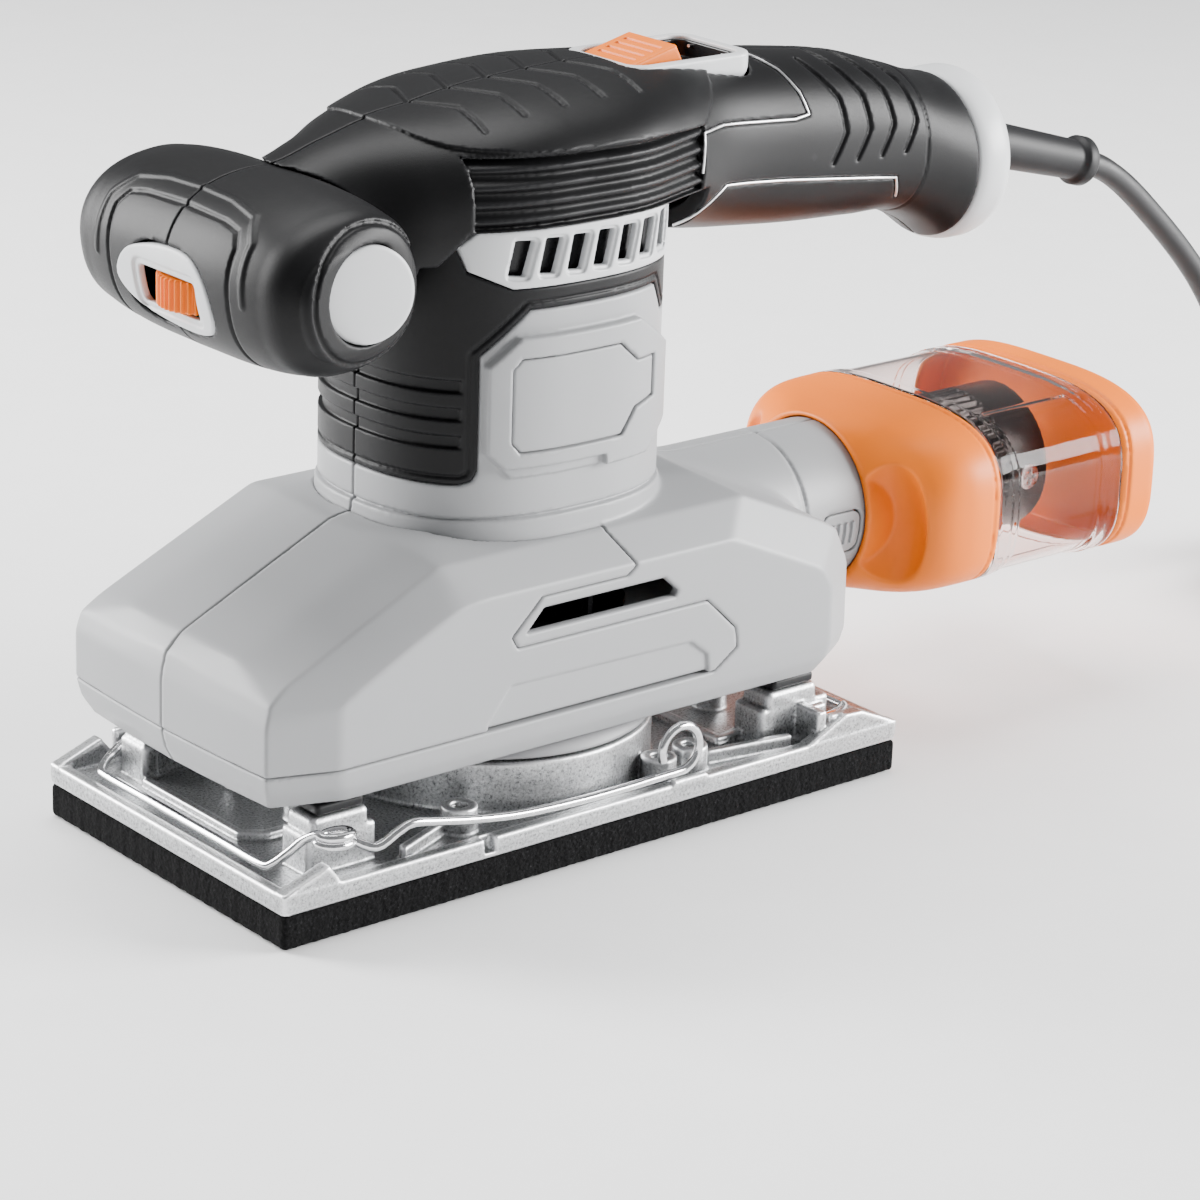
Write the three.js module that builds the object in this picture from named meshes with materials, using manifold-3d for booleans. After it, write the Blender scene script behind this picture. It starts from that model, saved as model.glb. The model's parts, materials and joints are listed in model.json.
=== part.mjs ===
// Orbital finishing sander for one-third sheets, with its dust box and mains lead. Millimetres.
// Frame: origin at the centre of the sanding face, +Z up, -X towards the speed dial (the front),
// -Y towards the tool's left side.
import * as THREE from 'three';
import { ConvexGeometry } from 'three/addons/geometries/ConvexGeometry.js';
import { mergeVertices } from 'three/addons/utils/BufferGeometryUtils.js';
import Module from 'manifold-3d';

const wasm = await Module();
wasm.setup();

// ---------------------------------------------------------------- driving dimensions
const GAP = 0.3;                    // clearance between neighbouring pieces
const WALL = 2.6;                   // moulded shell thickness

const PAD_LENGTH = 185;
const PAD_WIDTH = 96;
const FOAM_TOP = 8.4;
const PLATE_BOTTOM = FOAM_TOP + GAP;
const PLATE_TOP = 11.4;
const RAIL_TOP = 13.3;

const SKIRT_BOTTOM = 29;
const PARTING_Z = 37.7;             // line between skirt and upper housing
const HOUSING_TOP = 80;
const HOUSING_HALF_WIDTH = 44;

const COLUMN_X = -0.7;              // centre of the motor column
const COLUMN_A = 39;                // half length of its oval
const COLUMN_B = 34.5;              // half width of its oval
const COLUMN_POWER = 2.5;
const COLUMN_TOP = 150;             // where the black top shell begins

const TUBE_Z = 55.9;                // axis height of exhaust tube and dust box
const TUBE_R = 20.9;
const TUBE_END = 104;

const BOX_Z = 56.8;                 // axis height of the dust box
const BOX_A = 40;                   // half width of the dust box
const BOX_B = 23.3;                 // half height of the dust box
const BOX_POWER = 3.3;
const BOX_FRONT_SEAM = 132;
const BOX_REAR_SEAM = 176;
const BOX_END = 189.5;

const GRIP_X = -69.5;               // axis of the front grip bar
const GRIP_Z = 143.8;
const GRIP_HALF = 42;               // half length of the bar over its end discs
const GRIP_TILT = 0.17;             // its section leans nose down by this angle
const DISC_R = 11;

const COLLAR_X = 136;               // seam between handle and rear collar
const COLLAR_Z = 141;
const COLLAR_R = 21.3;

const ECCENTRIC = 1;                // orbit radius
const ORBIT_ROOM = 2.6;             // clearance at the opened eccentric pivot

const CORD_D = 6.5;
const COIL_CENTRE = [310, -38.6];
const COIL_MID_R = 38.5;            // middle of the coil's turns
const COIL_WIDTH = 30;
const COIL_HEIGHT = 13.4;

// ---------------------------------------------------------------- geometry helpers
const v3 = (x, y, z) => new THREE.Vector3(x, y, z);

function solid(geometry) {
  const bare = geometry.clone();
  bare.deleteAttribute('normal');
  bare.deleteAttribute('uv');
  const merged = mergeVertices(bare, 1e-4);
  return new wasm.Manifold(new wasm.Mesh({
    numProp: 3,
    vertProperties: merged.attributes.position.array,
    triVerts: Uint32Array.from(merged.index.array),
  }));
}

function geometryOf(manifold) {
  const mesh = manifold.getMesh();
  const geometry = new THREE.BufferGeometry();
  geometry.setAttribute('position', new THREE.BufferAttribute(mesh.vertProperties, 3));
  geometry.setIndex(new THREE.BufferAttribute(mesh.triVerts, 1));
  geometry.computeVertexNormals();
  return geometry;
}

// The largest body, without any sliver that a cut leaves behind.
function mainBody(manifold) {
  return manifold.decompose().sort((a, b) => b.volume() - a.volume())[0];
}

const join = (...pieces) => pieces.reduce((sum, piece) => sum.add(piece));
const cut = (body, ...tools) => tools.reduce((rest, tool) => rest.subtract(tool), body);

function polygon(points) {
  return new THREE.Shape(points.map(([x, y]) => new THREE.Vector2(x, y)));
}

// Prisms of a flat outline, along each axis between two values.
function prismZ(points, z0, z1) {
  const geometry = new THREE.ExtrudeGeometry(polygon(points), { depth: z1 - z0, bevelEnabled: false });
  return solid(geometry.translate(0, 0, z0));
}

function prismY(points, y0, y1) {
  const geometry = new THREE.ExtrudeGeometry(polygon(points), { depth: y1 - y0, bevelEnabled: false });
  return solid(geometry.rotateX(Math.PI / 2).translate(0, y1, 0));
}

function prismX(points, x0, x1) {
  const geometry = new THREE.ExtrudeGeometry(polygon(points), { depth: x1 - x0, bevelEnabled: false });
  const turn = new THREE.Matrix4().makeBasis(v3(0, 1, 0), v3(0, 0, 1), v3(1, 0, 0));
  return solid(geometry.applyMatrix4(turn).translate(x0, 0, 0));
}

function box(x0, x1, y0, y1, z0, z1) {
  const geometry = new THREE.BoxGeometry(x1 - x0, y1 - y0, z1 - z0);
  return solid(geometry.translate((x0 + x1) / 2, (y0 + y1) / 2, (z0 + z1) / 2));
}

// Cylinder between two points.
function rod(from, to, r0, r1 = r0, sides = 24) {
  const axis = to.clone().sub(from);
  const geometry = new THREE.CylinderGeometry(r1, r0, axis.length(), sides);
  const turn = new THREE.Quaternion().setFromUnitVectors(v3(0, 1, 0), axis.clone().normalize());
  return solid(geometry.applyQuaternion(turn).translate(...from.clone().add(to).multiplyScalar(0.5)));
}

const rodZ = (x, y, z0, z1, r, sides = 24) => rod(v3(x, y, z0), v3(x, y, z1), r, r, sides);
const rodY = (x, z, y0, y1, r, sides = 24) => rod(v3(x, y0, z), v3(x, y1, z), r, r, sides);
const rodX = (y, z, x0, x1, r, sides = 24) => rod(v3(x0, y, z), v3(x1, y, z), r, r, sides);

// Turned piece: profile is [radius, height] pairs along an axis that starts at origin.
function turned(profile, origin, direction, sides = 32) {
  const points = profile.map(([r, h]) => new THREE.Vector2(r, h));
  const geometry = new THREE.LatheGeometry(points, sides);
  const turn = new THREE.Quaternion().setFromUnitVectors(v3(0, 1, 0), direction.clone().normalize());
  return solid(geometry.applyQuaternion(turn).translate(...origin));
}

const hull = (points) => solid(new ConvexGeometry(points));

// Body through a row of flat sections, each pair joined by its hull.
function loft(sections) {
  let body = null;
  for (let i = 0; i + 1 < sections.length; i += 1) {
    const piece = hull([...sections[i], ...sections[i + 1]]);
    body = body ? body.add(piece) : piece;
  }
  return body;
}

function ovalPoint(angle, a, b, power) {
  const c = Math.cos(angle);
  const s = Math.sin(angle);
  return [
    a * Math.sign(c) * Math.abs(c) ** (2 / power),
    b * Math.sign(s) * Math.abs(s) ** (2 / power),
  ];
}

function oval(a, b, power = 2, sides = 24, cx = 0, cy = 0) {
  return Array.from({ length: sides }, (_, i) => {
    const [x, y] = ovalPoint((i / sides) * 2 * Math.PI, a, b, power);
    return [cx + x, cy + y];
  });
}

const ovalAcrossX = (x, z, a, b, power, sides = 24) =>
  oval(a, b, power, sides, 0, z).map(([py, pz]) => v3(x, py, pz));

function rounded(x0, x1, y0, y1, r, steps = 4) {
  const corners = [[x1 - r, y1 - r, 0], [x0 + r, y1 - r, 1], [x0 + r, y0 + r, 2], [x1 - r, y0 + r, 3]];
  return corners.flatMap(([cx, cy, quarter]) => Array.from({ length: steps + 1 }, (_, i) => {
    const angle = (quarter + i / steps) * (Math.PI / 2);
    return [cx + r * Math.cos(angle), cy + r * Math.sin(angle)];
  }));
}

// Outline moved outward by d (inward if d is negative).
function grow(points, d) {
  const area = points.reduce((sum, [x, y], i) => {
    const [nx, ny] = points[(i + 1) % points.length];
    return sum + x * ny - nx * y;
  }, 0);
  const side = area > 0 ? 1 : -1;
  const normal = ([ax, ay], [bx, by]) => {
    const length = Math.hypot(bx - ax, by - ay);
    return [side * (by - ay) / length, -side * (bx - ax) / length];
  };
  return points.map((point, i) => {
    const before = normal(points[(i + points.length - 1) % points.length], point);
    const after = normal(point, points[(i + 1) % points.length]);
    const scale = d / (1 + before[0] * after[0] + before[1] * after[1]);
    return [point[0] + (before[0] + after[0]) * scale, point[1] + (before[1] + after[1]) * scale];
  });
}

const mirrorY = (points) => [...points, ...points.map((p) => v3(p.x, -p.y, p.z))];
const BIG = 400;

// One half of a body split on the centre plane: side is -1 for the left, 1 for the right.
function half(body, side) {
  const [low, high] = side < 0 ? [-BIG, -GAP / 2] : [GAP / 2, BIG];
  return mainBody(body.intersect(box(-BIG, BIG, low, high, -BIG, BIG)));
}

function tubeAlong(points, radius, sides, steps) {
  const path = new THREE.CatmullRomCurve3(points, false, 'centripetal');
  const section = polygon(oval(radius, radius, 2, sides));
  return new THREE.ExtrudeGeometry(section, { steps, extrudePath: path, bevelEnabled: false });
}

// ---------------------------------------------------------------- materials
const finish = (color, roughness, metalness = 0) =>
  new THREE.MeshStandardMaterial({ color, roughness, metalness });

const GREY = finish(0xc9cacc, 0.55);
const BLACK = finish(0x232324, 0.7);
const PALE = finish(0xdddee0, 0.45);
const ORANGE = finish(0xf8942c, 0.45);
const CLEAR = finish(0xf2dcd6, 0.1);
const ALLOY = finish(0xc4c6c8, 0.35, 1);
const STEEL = finish(0xb8babd, 0.25, 1);
const COPPER = finish(0xb56a35, 0.35, 1);
const DARK = finish(0x303134, 0.6);
const FOAM = finish(0x17171a, 0.95);
const BOARD = finish(0x2c6b3a, 0.6);
const BRASS = finish(0xc8a24a, 0.3, 1);

const sander = new THREE.Group();

function place(name, shape, material) {
  const geometry = shape.isBufferGeometry ? shape : geometryOf(shape);
  const mesh = new THREE.Mesh(geometry, material);
  mesh.name = name;
  sander.add(mesh);
}

const SIDES = [['left', -1], ['right', 1]];

// ---------------------------------------------------------------- lower housing
// Corner points of the upper part of the lower housing, for y >= 0, drawn in by d.
function upperHousing(d, floor) {
  const w = HOUSING_HALF_WIDTH - d;
  const shoulder = 36.3 - d;
  const front = -92.5 + d;
  const back = 82 - d;
  const points = [
    v3(front, 0, floor), v3(front + 0.5, 20, floor), v3(front + 1.75, 38.3 - d / 2, floor),
    v3(-74.4 + d / 2, w, floor), v3(72 - d / 2, w, floor), v3(back, 38 - d, floor), v3(back, 0, floor),
    v3(front, 0, 50.3), v3(front + 0.5, 20, 50.2), v3(front + 1.75, 38.3 - d / 2, 49.6),
    v3(front + 1.3, 0, 56 - d / 2), v3(front + 3, 37.8 - d / 2, 54 - d / 2),
    v3(front + 5.8, 0, 60.1 - d), v3(front + 6.2, 20, 59.8 - d), v3(front + 7.8, 37 - d, 57.6 - d),
    v3(-46, 0, 79.2 - d), v3(-44.5, 22, 78.8 - d), v3(-42.5, shoulder, 77.2 - d),
    v3(-74.4 + d / 2, w, 52.5 - d), v3(-71.3, w, 54.6 - d), v3(-42.9, w, 68.6 - d), v3(-36.7, w, 69.7 - d),
    v3(39 - d / 2, w, 69.8 - d), v3(68.2 - d, w, 56.7 - d), v3(71.4 - d, w, 52.2 - d),
    v3(-36, 22, HOUSING_TOP - d), v3(-36, 0, HOUSING_TOP + 0.4 - d),
    v3(44 - d / 2, 22, HOUSING_TOP - d), v3(45 - d / 2, 0, HOUSING_TOP + 0.4 - d),
    v3(47.5 - d / 2, shoulder, 77.3 - d), v3(74 - d, shoulder, 65.9 - d), v3(75 - d, 0, 67.4 - d),
    v3(79 - d, 36.5 - d, 62.8 - d), v3(79.8 - d, 0, 63.5 - d), v3(81.7 - d, 38 - d, 54.5 - d),
  ];
  return hull(mirrorY(points));
}

function skirt(d, bottom) {
  const top = PARTING_Z;
  const ring = (inset, z) => mirrorY([
    v3(-92.5 + inset, 0, z), v3(-92 + inset, 20, z), v3(-90.75 + inset, 38.3 - inset / 2, z),
    v3(-74.4 + inset / 2, HOUSING_HALF_WIDTH - inset, z), v3(72 - inset / 2, HOUSING_HALF_WIDTH - inset, z),
    v3(82 - inset, 38 - inset, z), v3(82 - inset, 0, z),
  ]);
  const lowRear = (p, z) => v3(Math.min(p.x, 70 - d), p.y, z);
  const lip = ring(d + 3.2, bottom).map((p) => lowRear(p, bottom));
  return hull([...ring(d, top), ...ring(d + 0.9, top - 4.5), ...lip]);
}

// Side view of the front cover, as [x, z].
const COVER_OUTLINE = [
  [-110, PARTING_Z], [34.5, PARTING_Z], [41.5, 42.5], [40.7, 47.5], [31.4, 56.2], [-25.3, 56.2],
  [-27, 59], [-18.6, 67.2], [6.5, 67.2], [9.2, 69.3], [5.2, 76.5], [4.7, 95], [-110, 95],
];

const SLOT_OUTLINE = [[-22.9, 59.2], [-17.9, 64.5], [17.9, 64.5], [22.3, 60.6], [21.3, 59.2]];

const columnOval = (grown, sides = 24) =>
  oval(COLUMN_A + grown, COLUMN_B + grown, COLUMN_POWER, sides, COLUMN_X, 0);

// Side view of the grey part of the column, as [x, z].
const GREY_TOP = [
  [-60, 70], [60, 70], [60, 124], [27, 124], [22.8, 131.3], [-15.8, 131.3],
  [-26.3, 121.2], [-26.3, 94.2], [-27.3, 92], [-29.5, 91], [-60, 91],
];

// Side view of the vent grille with its forward strip, as [x, z].
const GRILLE_OUTLINE = [
  [-60, 139.6], [-36.6, 139.6], [-28.9, 146], [-28.9, 140.6], [-20, 136.4], [60, 136.4],
  [60, COLUMN_TOP], [-30.7, COLUMN_TOP], [-36.6, 142.4], [-60, 142.4],
];

const LOW_SCREWS = [[-66, 47], [62, 45]];

function screwBoss(x, z, yFace, depth) {
  return rodY(x, z, yFace - depth, yFace, 5.2, 16);
}

function screwBore(x, z, yFace) {
  return join(rodY(x, z, yFace - 4.5, yFace + 6, 3.5, 16), rodY(x, z, yFace - 30, yFace, 1.7, 12));
}

function housingShell() {
  const outer = join(upperHousing(0, PARTING_Z), skirt(0, SKIRT_BOTTOM));
  const inner = join(upperHousing(WALL, PARTING_Z - 1), skirt(WALL, SKIRT_BOTTOM - 4));
  return cut(outer, inner);
}

function badgeFrame(side) {
  // Raised octagonal pad on the column's side that carries the badge plate.
  const outline = [
    [-26, 99], [-20, 92.5], [19, 92.5], [27, 99], [27, 117], [21, 121.5], [15, 125.5], [-19, 125.5],
    [-26, 119],
  ];
  const outer = prismZ(columnOval(2.2), 60, 160);
  const block = prismY(outline, side < 0 ? -60 : 4, side < 0 ? -4 : 60);
  return block.intersect(outer);
}

const PLATE_OUTLINE = [
  [-20.5, 101], [-18.5, 98.8], [9.5, 98.8], [14, 104.5], [20.5, 106], [20.5, 115.5], [14.5, 115.5],
  [8.5, 120.5], [-18.5, 120.5], [-20.5, 118.5],
];

function badgePlate(side, d, depth) {
  const ring = cut(prismZ(columnOval(2.6), 60, 160), prismZ(columnOval(2.6 - depth), 50, 170));
  const y = side < 0 ? [-60, -4] : [4, 60];
  return prismY(grow(PLATE_OUTLINE, d), ...y).intersect(ring);
}

function housing() {
  const coverHole = prismY(grow(COVER_OUTLINE, GAP / 2), -BIG, BIG);
  const columnOuter = prismZ(columnOval(0), HOUSING_TOP - 4, COLUMN_TOP);
  const columnInner = prismZ(columnOval(-WALL), HOUSING_TOP + 1.6, COLUMN_TOP + 20);
  const columnFoot = prismZ(columnOval(0.6), HOUSING_TOP - 5, 82.4);
  const badges = join(badgeFrame(-1), badgeFrame(1));
  const greyRegion = prismY(grow(GREY_TOP, -GAP / 2), -BIG, BIG);
  const column = cut(join(columnOuter, badges), columnInner).intersect(greyRegion);
  const lower = cut(housingShell(), cut(coverHole, columnFoot));
  const deck = cut(
    skirt(WALL - 0.5, SKIRT_BOTTOM).intersect(box(-BIG, BIG, -BIG, BIG, 34.4, 37.4)),
    rodZ(0, 0, 30, 40, 37, 28),
  );
  const tubeOuter = rodX(0, TUBE_Z, 52, TUBE_END, TUBE_R, 28);
  const tubeInner = rodX(0, TUBE_Z, 47, TUBE_END + 5, TUBE_R - 2.3, 28);
  const floorOfColumn = prismZ(columnOval(-1), HOUSING_TOP - 2.4, HOUSING_TOP + 1.6);
  const bearingSeat = rodZ(0, 0, HOUSING_TOP - 4, HOUSING_TOP + 7, 17, 20);
  let body = join(lower, deck, column, columnFoot, floorOfColumn, bearingSeat, tubeOuter);
  body = cut(body, tubeInner, rodZ(0, 0, 70, 95, 13 + GAP, 20));
  body = cut(body, prismY(SLOT_OUTLINE, -60, 60).intersect(join(
    box(-40, 40, -60, -38, 50, 70), box(-40, 40, 38, 60, 50, 70))));
  for (const [, side] of SIDES) {
    body = cut(body, badgePlate(side, GAP, 1.6), latchPocket(side));
  }
  for (const angle of [0.6, 2.1, 4.2, 5.7]) {
    const x = 24 * Math.cos(angle);
    const y = 22 * Math.sin(angle);
    body = cut(body, rodZ(x, y, 70, 90, 4, 8));
  }
  return body;
}

function latchOutline(d) {
  return rounded(89.5 - d, 102 + d, 48 - d, 59 + d, 2.5, 3);
}

function latchPocket(side) {
  const y = side < 0 ? [-30, -10] : [10, 30];
  return prismY(latchOutline(GAP), ...y);
}

function latchButton(side) {
  const skin = cut(rodX(0, TUBE_Z, 60, TUBE_END, TUBE_R + 0.1, 28), rodX(0, TUBE_Z, 50, 110, TUBE_R - 2, 28));
  const y = side < 0 ? [-30, -10] : [10, 30];
  let button = prismY(latchOutline(0), ...y).intersect(skin);
  for (let i = 0; i < 4; i += 1) {
    const x = 92.2 + i * 2.2;
    const rib = box(x, x + 0.9, side < 0 ? -22 : 19.4, side < 0 ? -19.4 : 22, 50.5, 56.5);
    button = join(button, rib.intersect(rodX(0, TUBE_Z, 80, 104, TUBE_R + 0.6, 28)));
  }
  return button;
}

function frontCover() {
  const region = prismY(grow(COVER_OUTLINE, -GAP / 2), -BIG, BIG);
  const shell = cut(upperHousing(0, PARTING_Z), upperHousing(WALL, PARTING_Z - 1));
  return cut(shell.intersect(region), prismZ(columnOval(0.6 + GAP), 60, 100));
}

function rightScrewWork(body, screws, face) {
  let result = body;
  for (const [x, z] of screws) {
    result = cut(join(result, screwBoss(x, z, face - 1, 8)), screwBore(x, z, face));
  }
  return result;
}

function screw(x, z, face) {
  const head = rodY(x, z, face - 4.2, face - 1.2, 3.1, 16);
  const shank = rodY(x, z, face - 8.6, face - 4, 1.4, 10);
  const cross = join(box(x - 2, x + 2, face - 2.2, face, z - 0.4, z + 0.4),
    box(x - 0.4, x + 0.4, face - 2.2, face, z - 2, z + 2));
  return cut(join(head, shank), cross);
}

// ---------------------------------------------------------------- black column trim and vent grille
function columnRing(inner = -WALL, outer = 0) {
  return cut(prismZ(columnOval(outer), 90, COLUMN_TOP), prismZ(columnOval(inner), 80, 170));
}

function columnTrim() {
  const greyHole = prismY(grow(GREY_TOP, GAP / 2), -BIG, BIG);
  const grilleHole = prismY(grow(GRILLE_OUTLINE, GAP / 2), -BIG, BIG);
  const above = prismY([[-60, 142.3], [-36.6, 142.3], [-30.7, 150], [-30.7, 170], [-60, 170]], -BIG, BIG);
  let trim = cut(columnRing(), greyHole, grilleHole, above);
  for (const z of [101, 107.5, 114]) {
    const groove = cut(prismZ(columnOval(1), z - 1.7, z + 1.7), prismZ(columnOval(-1.1), z - 3, z + 3));
    trim = cut(trim, groove.intersect(box(-60, -29.5, -BIG, BIG, 90, 130)));
  }
  return trim;
}

function ventGrille() {
  let grille = columnRing(-WALL, 0.5).intersect(prismY(grow(GRILLE_OUTLINE, -GAP / 2), -BIG, BIG));
  grille = cut(grille, box(-60, -30, -3, 3, 130, 160));
  for (let i = 0; i < 7; i += 1) {
    const x = -19.5 + i * 7.4;
    const low = 138.4 + i * 0.1;
    const window = [[x - 1.6, low], [x + 3, low], [x + 4.4, 147.6], [x - 0.2, 147.6]];
    grille = cut(grille, prismY(window, -60, 60));
  }
  return grille;
}

// ---------------------------------------------------------------- black top shell with main handle
// Stations along X of the top body and handle: x, middle z, half width, half height, squareness.
const BODY_STATIONS = [
  [-50, 147.6, 20, 20.3, 2.4], [-38, 150.9, 27, 20.2, 2.5], [-22, 155.2, 34, 18.3, 2.7],
  [-4, 157.6, 36.5, 18.3, 2.8], [16, 158, 36, 19.1, 2.8], [34, 157.5, 30, 19.6, 2.6], [50, 155.8, 23.8, 20.9, 2.4],
];
const HANDLE_STATIONS = [
  [50, 155.8, 23.8, 20.9, 2.4], [62, 154.6, 21.5, 21.3, 2.3], [84, 152.5, 20.3, 21.2, 2.3],
  [104, 150.6, 20, 20.2, 2.3], [118, 148.2, 20, 18.6, 2.2], [128, 144.6, 20.4, 19, 2.1],
  [COLLAR_X - GAP / 2, COLLAR_Z, 21, 21, 2],
];

const stationLoft = (stations, d) => loft(stations.map(([x, z, a, b, power]) =>
  ovalAcrossX(x, z, a - d, b - d, power, 18)));

function topShellOuter(d) {
  const crown = stationLoft(BODY_STATIONS, d);
  const handle = stationLoft(HANDLE_STATIONS, d);
  const columnTop = prismZ(columnOval(-d), COLUMN_TOP - 10, 164 - d);
  return join(crown, handle, columnTop);
}

function topShellRegion() {
  // The top shell keeps off the column below the grille's upper edge.
  return prismY([
    [-60, 142.4], [-36.6, 142.4], [-30.7, COLUMN_TOP], [42, COLUMN_TOP], [42, 110], [BIG, 110],
    [BIG, 220], [-60, 220],
  ], -BIG, BIG);
}

const SWITCH_OUTLINE = rounded(28.5, 66.5, -13.5, 13.5, 5);

function topShell() {
  let shell = cut(topShellOuter(0), topShellOuter(WALL));
  shell = shell.intersect(topShellRegion());
  const gripCut = gripBody(GAP + 0.05);
  const rearEnd = box(COLLAR_X - 3, BIG, -BIG, BIG, -BIG, BIG)
    .intersect(rodX(0, COLLAR_Z, 130, 160, COLLAR_R - 2.4, 24));
  shell = cut(shell, gripCut, rearEnd, prismZ(grow(SWITCH_OUTLINE, GAP), 168, 190));
  shell = cut(shell, box(-60, 42.5, -32.6, 32.6, 136, COLUMN_TOP + 0.2));
  return shell;
}

// ---------------------------------------------------------------- front grip bar
// Stations along Y of the grip bar: y, middle x, middle z, half length in x, half height.
const GRIP_STATIONS = [
  [0, GRIP_X, GRIP_Z, 21.5, 20], [20, GRIP_X, GRIP_Z, 21.2, 19.6], [32, GRIP_X - 0.2, GRIP_Z + 0.2, 20.2, 18.2],
  [38, GRIP_X - 0.4, GRIP_Z + 0.5, 18.8, 16.6], [GRIP_HALF - 0.5, GRIP_X + 0.5, GRIP_Z + 0.6, 15.5, 13.6],
];

function gripBody(grown) {
  const c = Math.cos(GRIP_TILT);
  const s = Math.sin(GRIP_TILT);
  const section = ([y, x, z, a, b], side) => oval(a + grown, b + grown, 2.3, 16)
    .map(([px, pz]) => {
      const lean = y > 40 ? grown - 0.17 * px : 0;
      return v3(x + px * c - pz * s, side * (y + lean), z + px * s + pz * c);
    });
  const left = loft(GRIP_STATIONS.map((station) => section(station, -1)));
  const right = loft(GRIP_STATIONS.map((station) => section(station, 1)));
  return join(left, right);
}

const BEZEL_OUTLINE = [
  [20, 139], [16, 145.4], [8.5, 148.2], [-1, 149.4], [-9, 148.6], [-14.4, 144.6], [-16.4, 139],
  [-16, 134.6], [-12.6, 131.8], [-5.5, 130.6], [6, 131.6], [15, 134.2],
];
const DIAL_CENTRE = [-81.2, -0.8];
const DIAL_R = 10.6;

function frontGrip() {
  let grip = cut(gripBody(0), gripBody(-WALL));
  grip = cut(grip, prismX(grow(BEZEL_OUTLINE, GAP), -110, -80));
  grip = cut(grip, rodX(0, 145, -60, -40, 13, 24));
  for (const side of [-1, 1]) {
    grip = cut(grip, endDisc(side, GAP, 3));
  }
  return grip;
}

function endDisc(side, d, depth) {
  // The disc's face leans forward by the bar's end slope.
  const lean = 0.17;
  const centre = v3(GRIP_X + 3, side * (GRIP_HALF - 0.7), GRIP_Z + 0.4);
  const out = v3(-lean, side, 0).normalize();
  const inner = centre.clone().addScaledVector(out, -depth - d);
  return rod(inner, centre.clone().addScaledVector(out, d), DISC_R + d, DISC_R + d, 24);
}

function dialBezel() {
  const face = prismX(BEZEL_OUTLINE, -91.8, -86);
  const front = gripBody(0.35);
  const opening = prismX(rounded(-10.6, 11, 134.6, 143.2, 1.2, 3), -110, -80);
  return cut(face.intersect(front), opening);
}

function speedDial() {
  const [x, y] = DIAL_CENTRE;
  let wheel = rodZ(x, y, 135.2, 142.6, DIAL_R, 24);
  for (let i = 0; i < 12; i += 1) {
    const angle = ((i + 0.5) / 12) * 2 * Math.PI;
    const notch = rodZ(x + DIAL_R * Math.cos(angle), y + DIAL_R * Math.sin(angle), 130, 150, 0.8, 4);
    wheel = cut(wheel, notch);
  }
  return cut(wheel, rodZ(x, y, 130, 150, 2.2, 12));
}

function speedBoard() {
  const [x, y] = DIAL_CENTRE;
  const board = box(-82, -62, y - 12, y + 12, 131.2, 132.8);
  const pot = rodZ(x + 3, y, 132.6, 134.8, 5, 16);
  const spindle = rodZ(x, y, 132, 142, 1.9, 12);
  return join(board, pot, spindle);
}

// ---------------------------------------------------------------- switch
function switchBezel() {
  const frame = prismZ(SWITCH_OUTLINE, 169, 177.2);
  const recess = prismZ(rounded(31, 64, -11.2, 11.2, 4), 171.6, 190);
  const slot = box(34, 56, -3.4, 3.4, 160, 180);
  return cut(frame, recess, slot);
}

function switchButton() {
  const side = [[32, 172.4], [48, 172.4], [48, 175.5], [45.5, 180.2], [32, 176.8]];
  const stem = box(36, 42, -2.6, 2.6, 166, 173);
  return join(prismY(side, -9, 9), stem);
}

// ---------------------------------------------------------------- rear collar and lead
const BOOT_START = v3(148.4, 0, 143.6);
const BOOT_END = v3(195, 0, 131.4);

function rearCollar() {
  const profile = [
    [0, 0], [COLLAR_R - 3, 0], [COLLAR_R - 3, GAP / 2], [COLLAR_R - 0.3, GAP / 2], [COLLAR_R + 0.6, 3.2],
    [COLLAR_R + 0.6, 8.4], [COLLAR_R - 0.4, 10.8], [COLLAR_R - 3.2, 12], [0, 12],
  ];
  const cap = turned(profile, v3(COLLAR_X, 0, COLLAR_Z), v3(1, 0, 0), 28);
  const hollow = rodX(0, COLLAR_Z, COLLAR_X - 1, COLLAR_X + 9, COLLAR_R - 5, 24);
  const along = BOOT_END.clone().sub(BOOT_START).normalize();
  const socket = rod(BOOT_START.clone().addScaledVector(along, -16), BOOT_START.clone().addScaledVector(along, 4),
    6.2, 6.2, 20);
  return cut(cap, hollow, socket);
}

function cordBoot() {
  const along = BOOT_END.clone().sub(BOOT_START);
  const length = along.length();
  const profile = [[0, -6], [5.9, -6], [5.9, 2], [5.3, length - 7], [5.2, length - 4], [6.5, length - 4],
    [6.5, length], [0, length]];
  return turned(profile, BOOT_START, along, 20);
}

const CORD_ROUTE = [
  [195.4, 0, 131.3], [202, 0, 128.9], [208.5, 0, 125.1], [214.6, 0, 120.6], [221, 0, 115.2],
  [228.6, 0, 108.5], [236.8, 0, 100.7], [244.8, 0, 92], [252.3, 0.5, 82.3], [258.4, 1.2, 71.8],
  [263, 2.2, 60.7], [266.6, 3.2, 49.3], [270.3, 4.4, 38.8], [274.9, 5.6, 29.4], [280.8, 7, 21.6],
  [288, 8.5, 15.8], [296.2, 9.5, 12.1], [304, 10, 10.5], [311, 10.2, 10.1],
];

function coilRing(grown) {
  const low = COIL_MID_R - COIL_WIDTH / 2 - grown;
  const high = COIL_MID_R + COIL_WIDTH / 2 + grown;
  const top = COIL_HEIGHT + grown;
  const profile = [[low, 1], [low + 1, 0], [high - 1, 0], [high, 1], [high, top - 1], [high - 1, top],
    [low + 1, top], [low, top - 1], [low, 1]];
  const points = profile.map(([r, h]) => new THREE.Vector2(r, h));
  const ring = new THREE.LatheGeometry(points, 28);
  return solid(ring.rotateX(Math.PI / 2).translate(COIL_CENTRE[0], COIL_CENTRE[1], 0.1));
}

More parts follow.
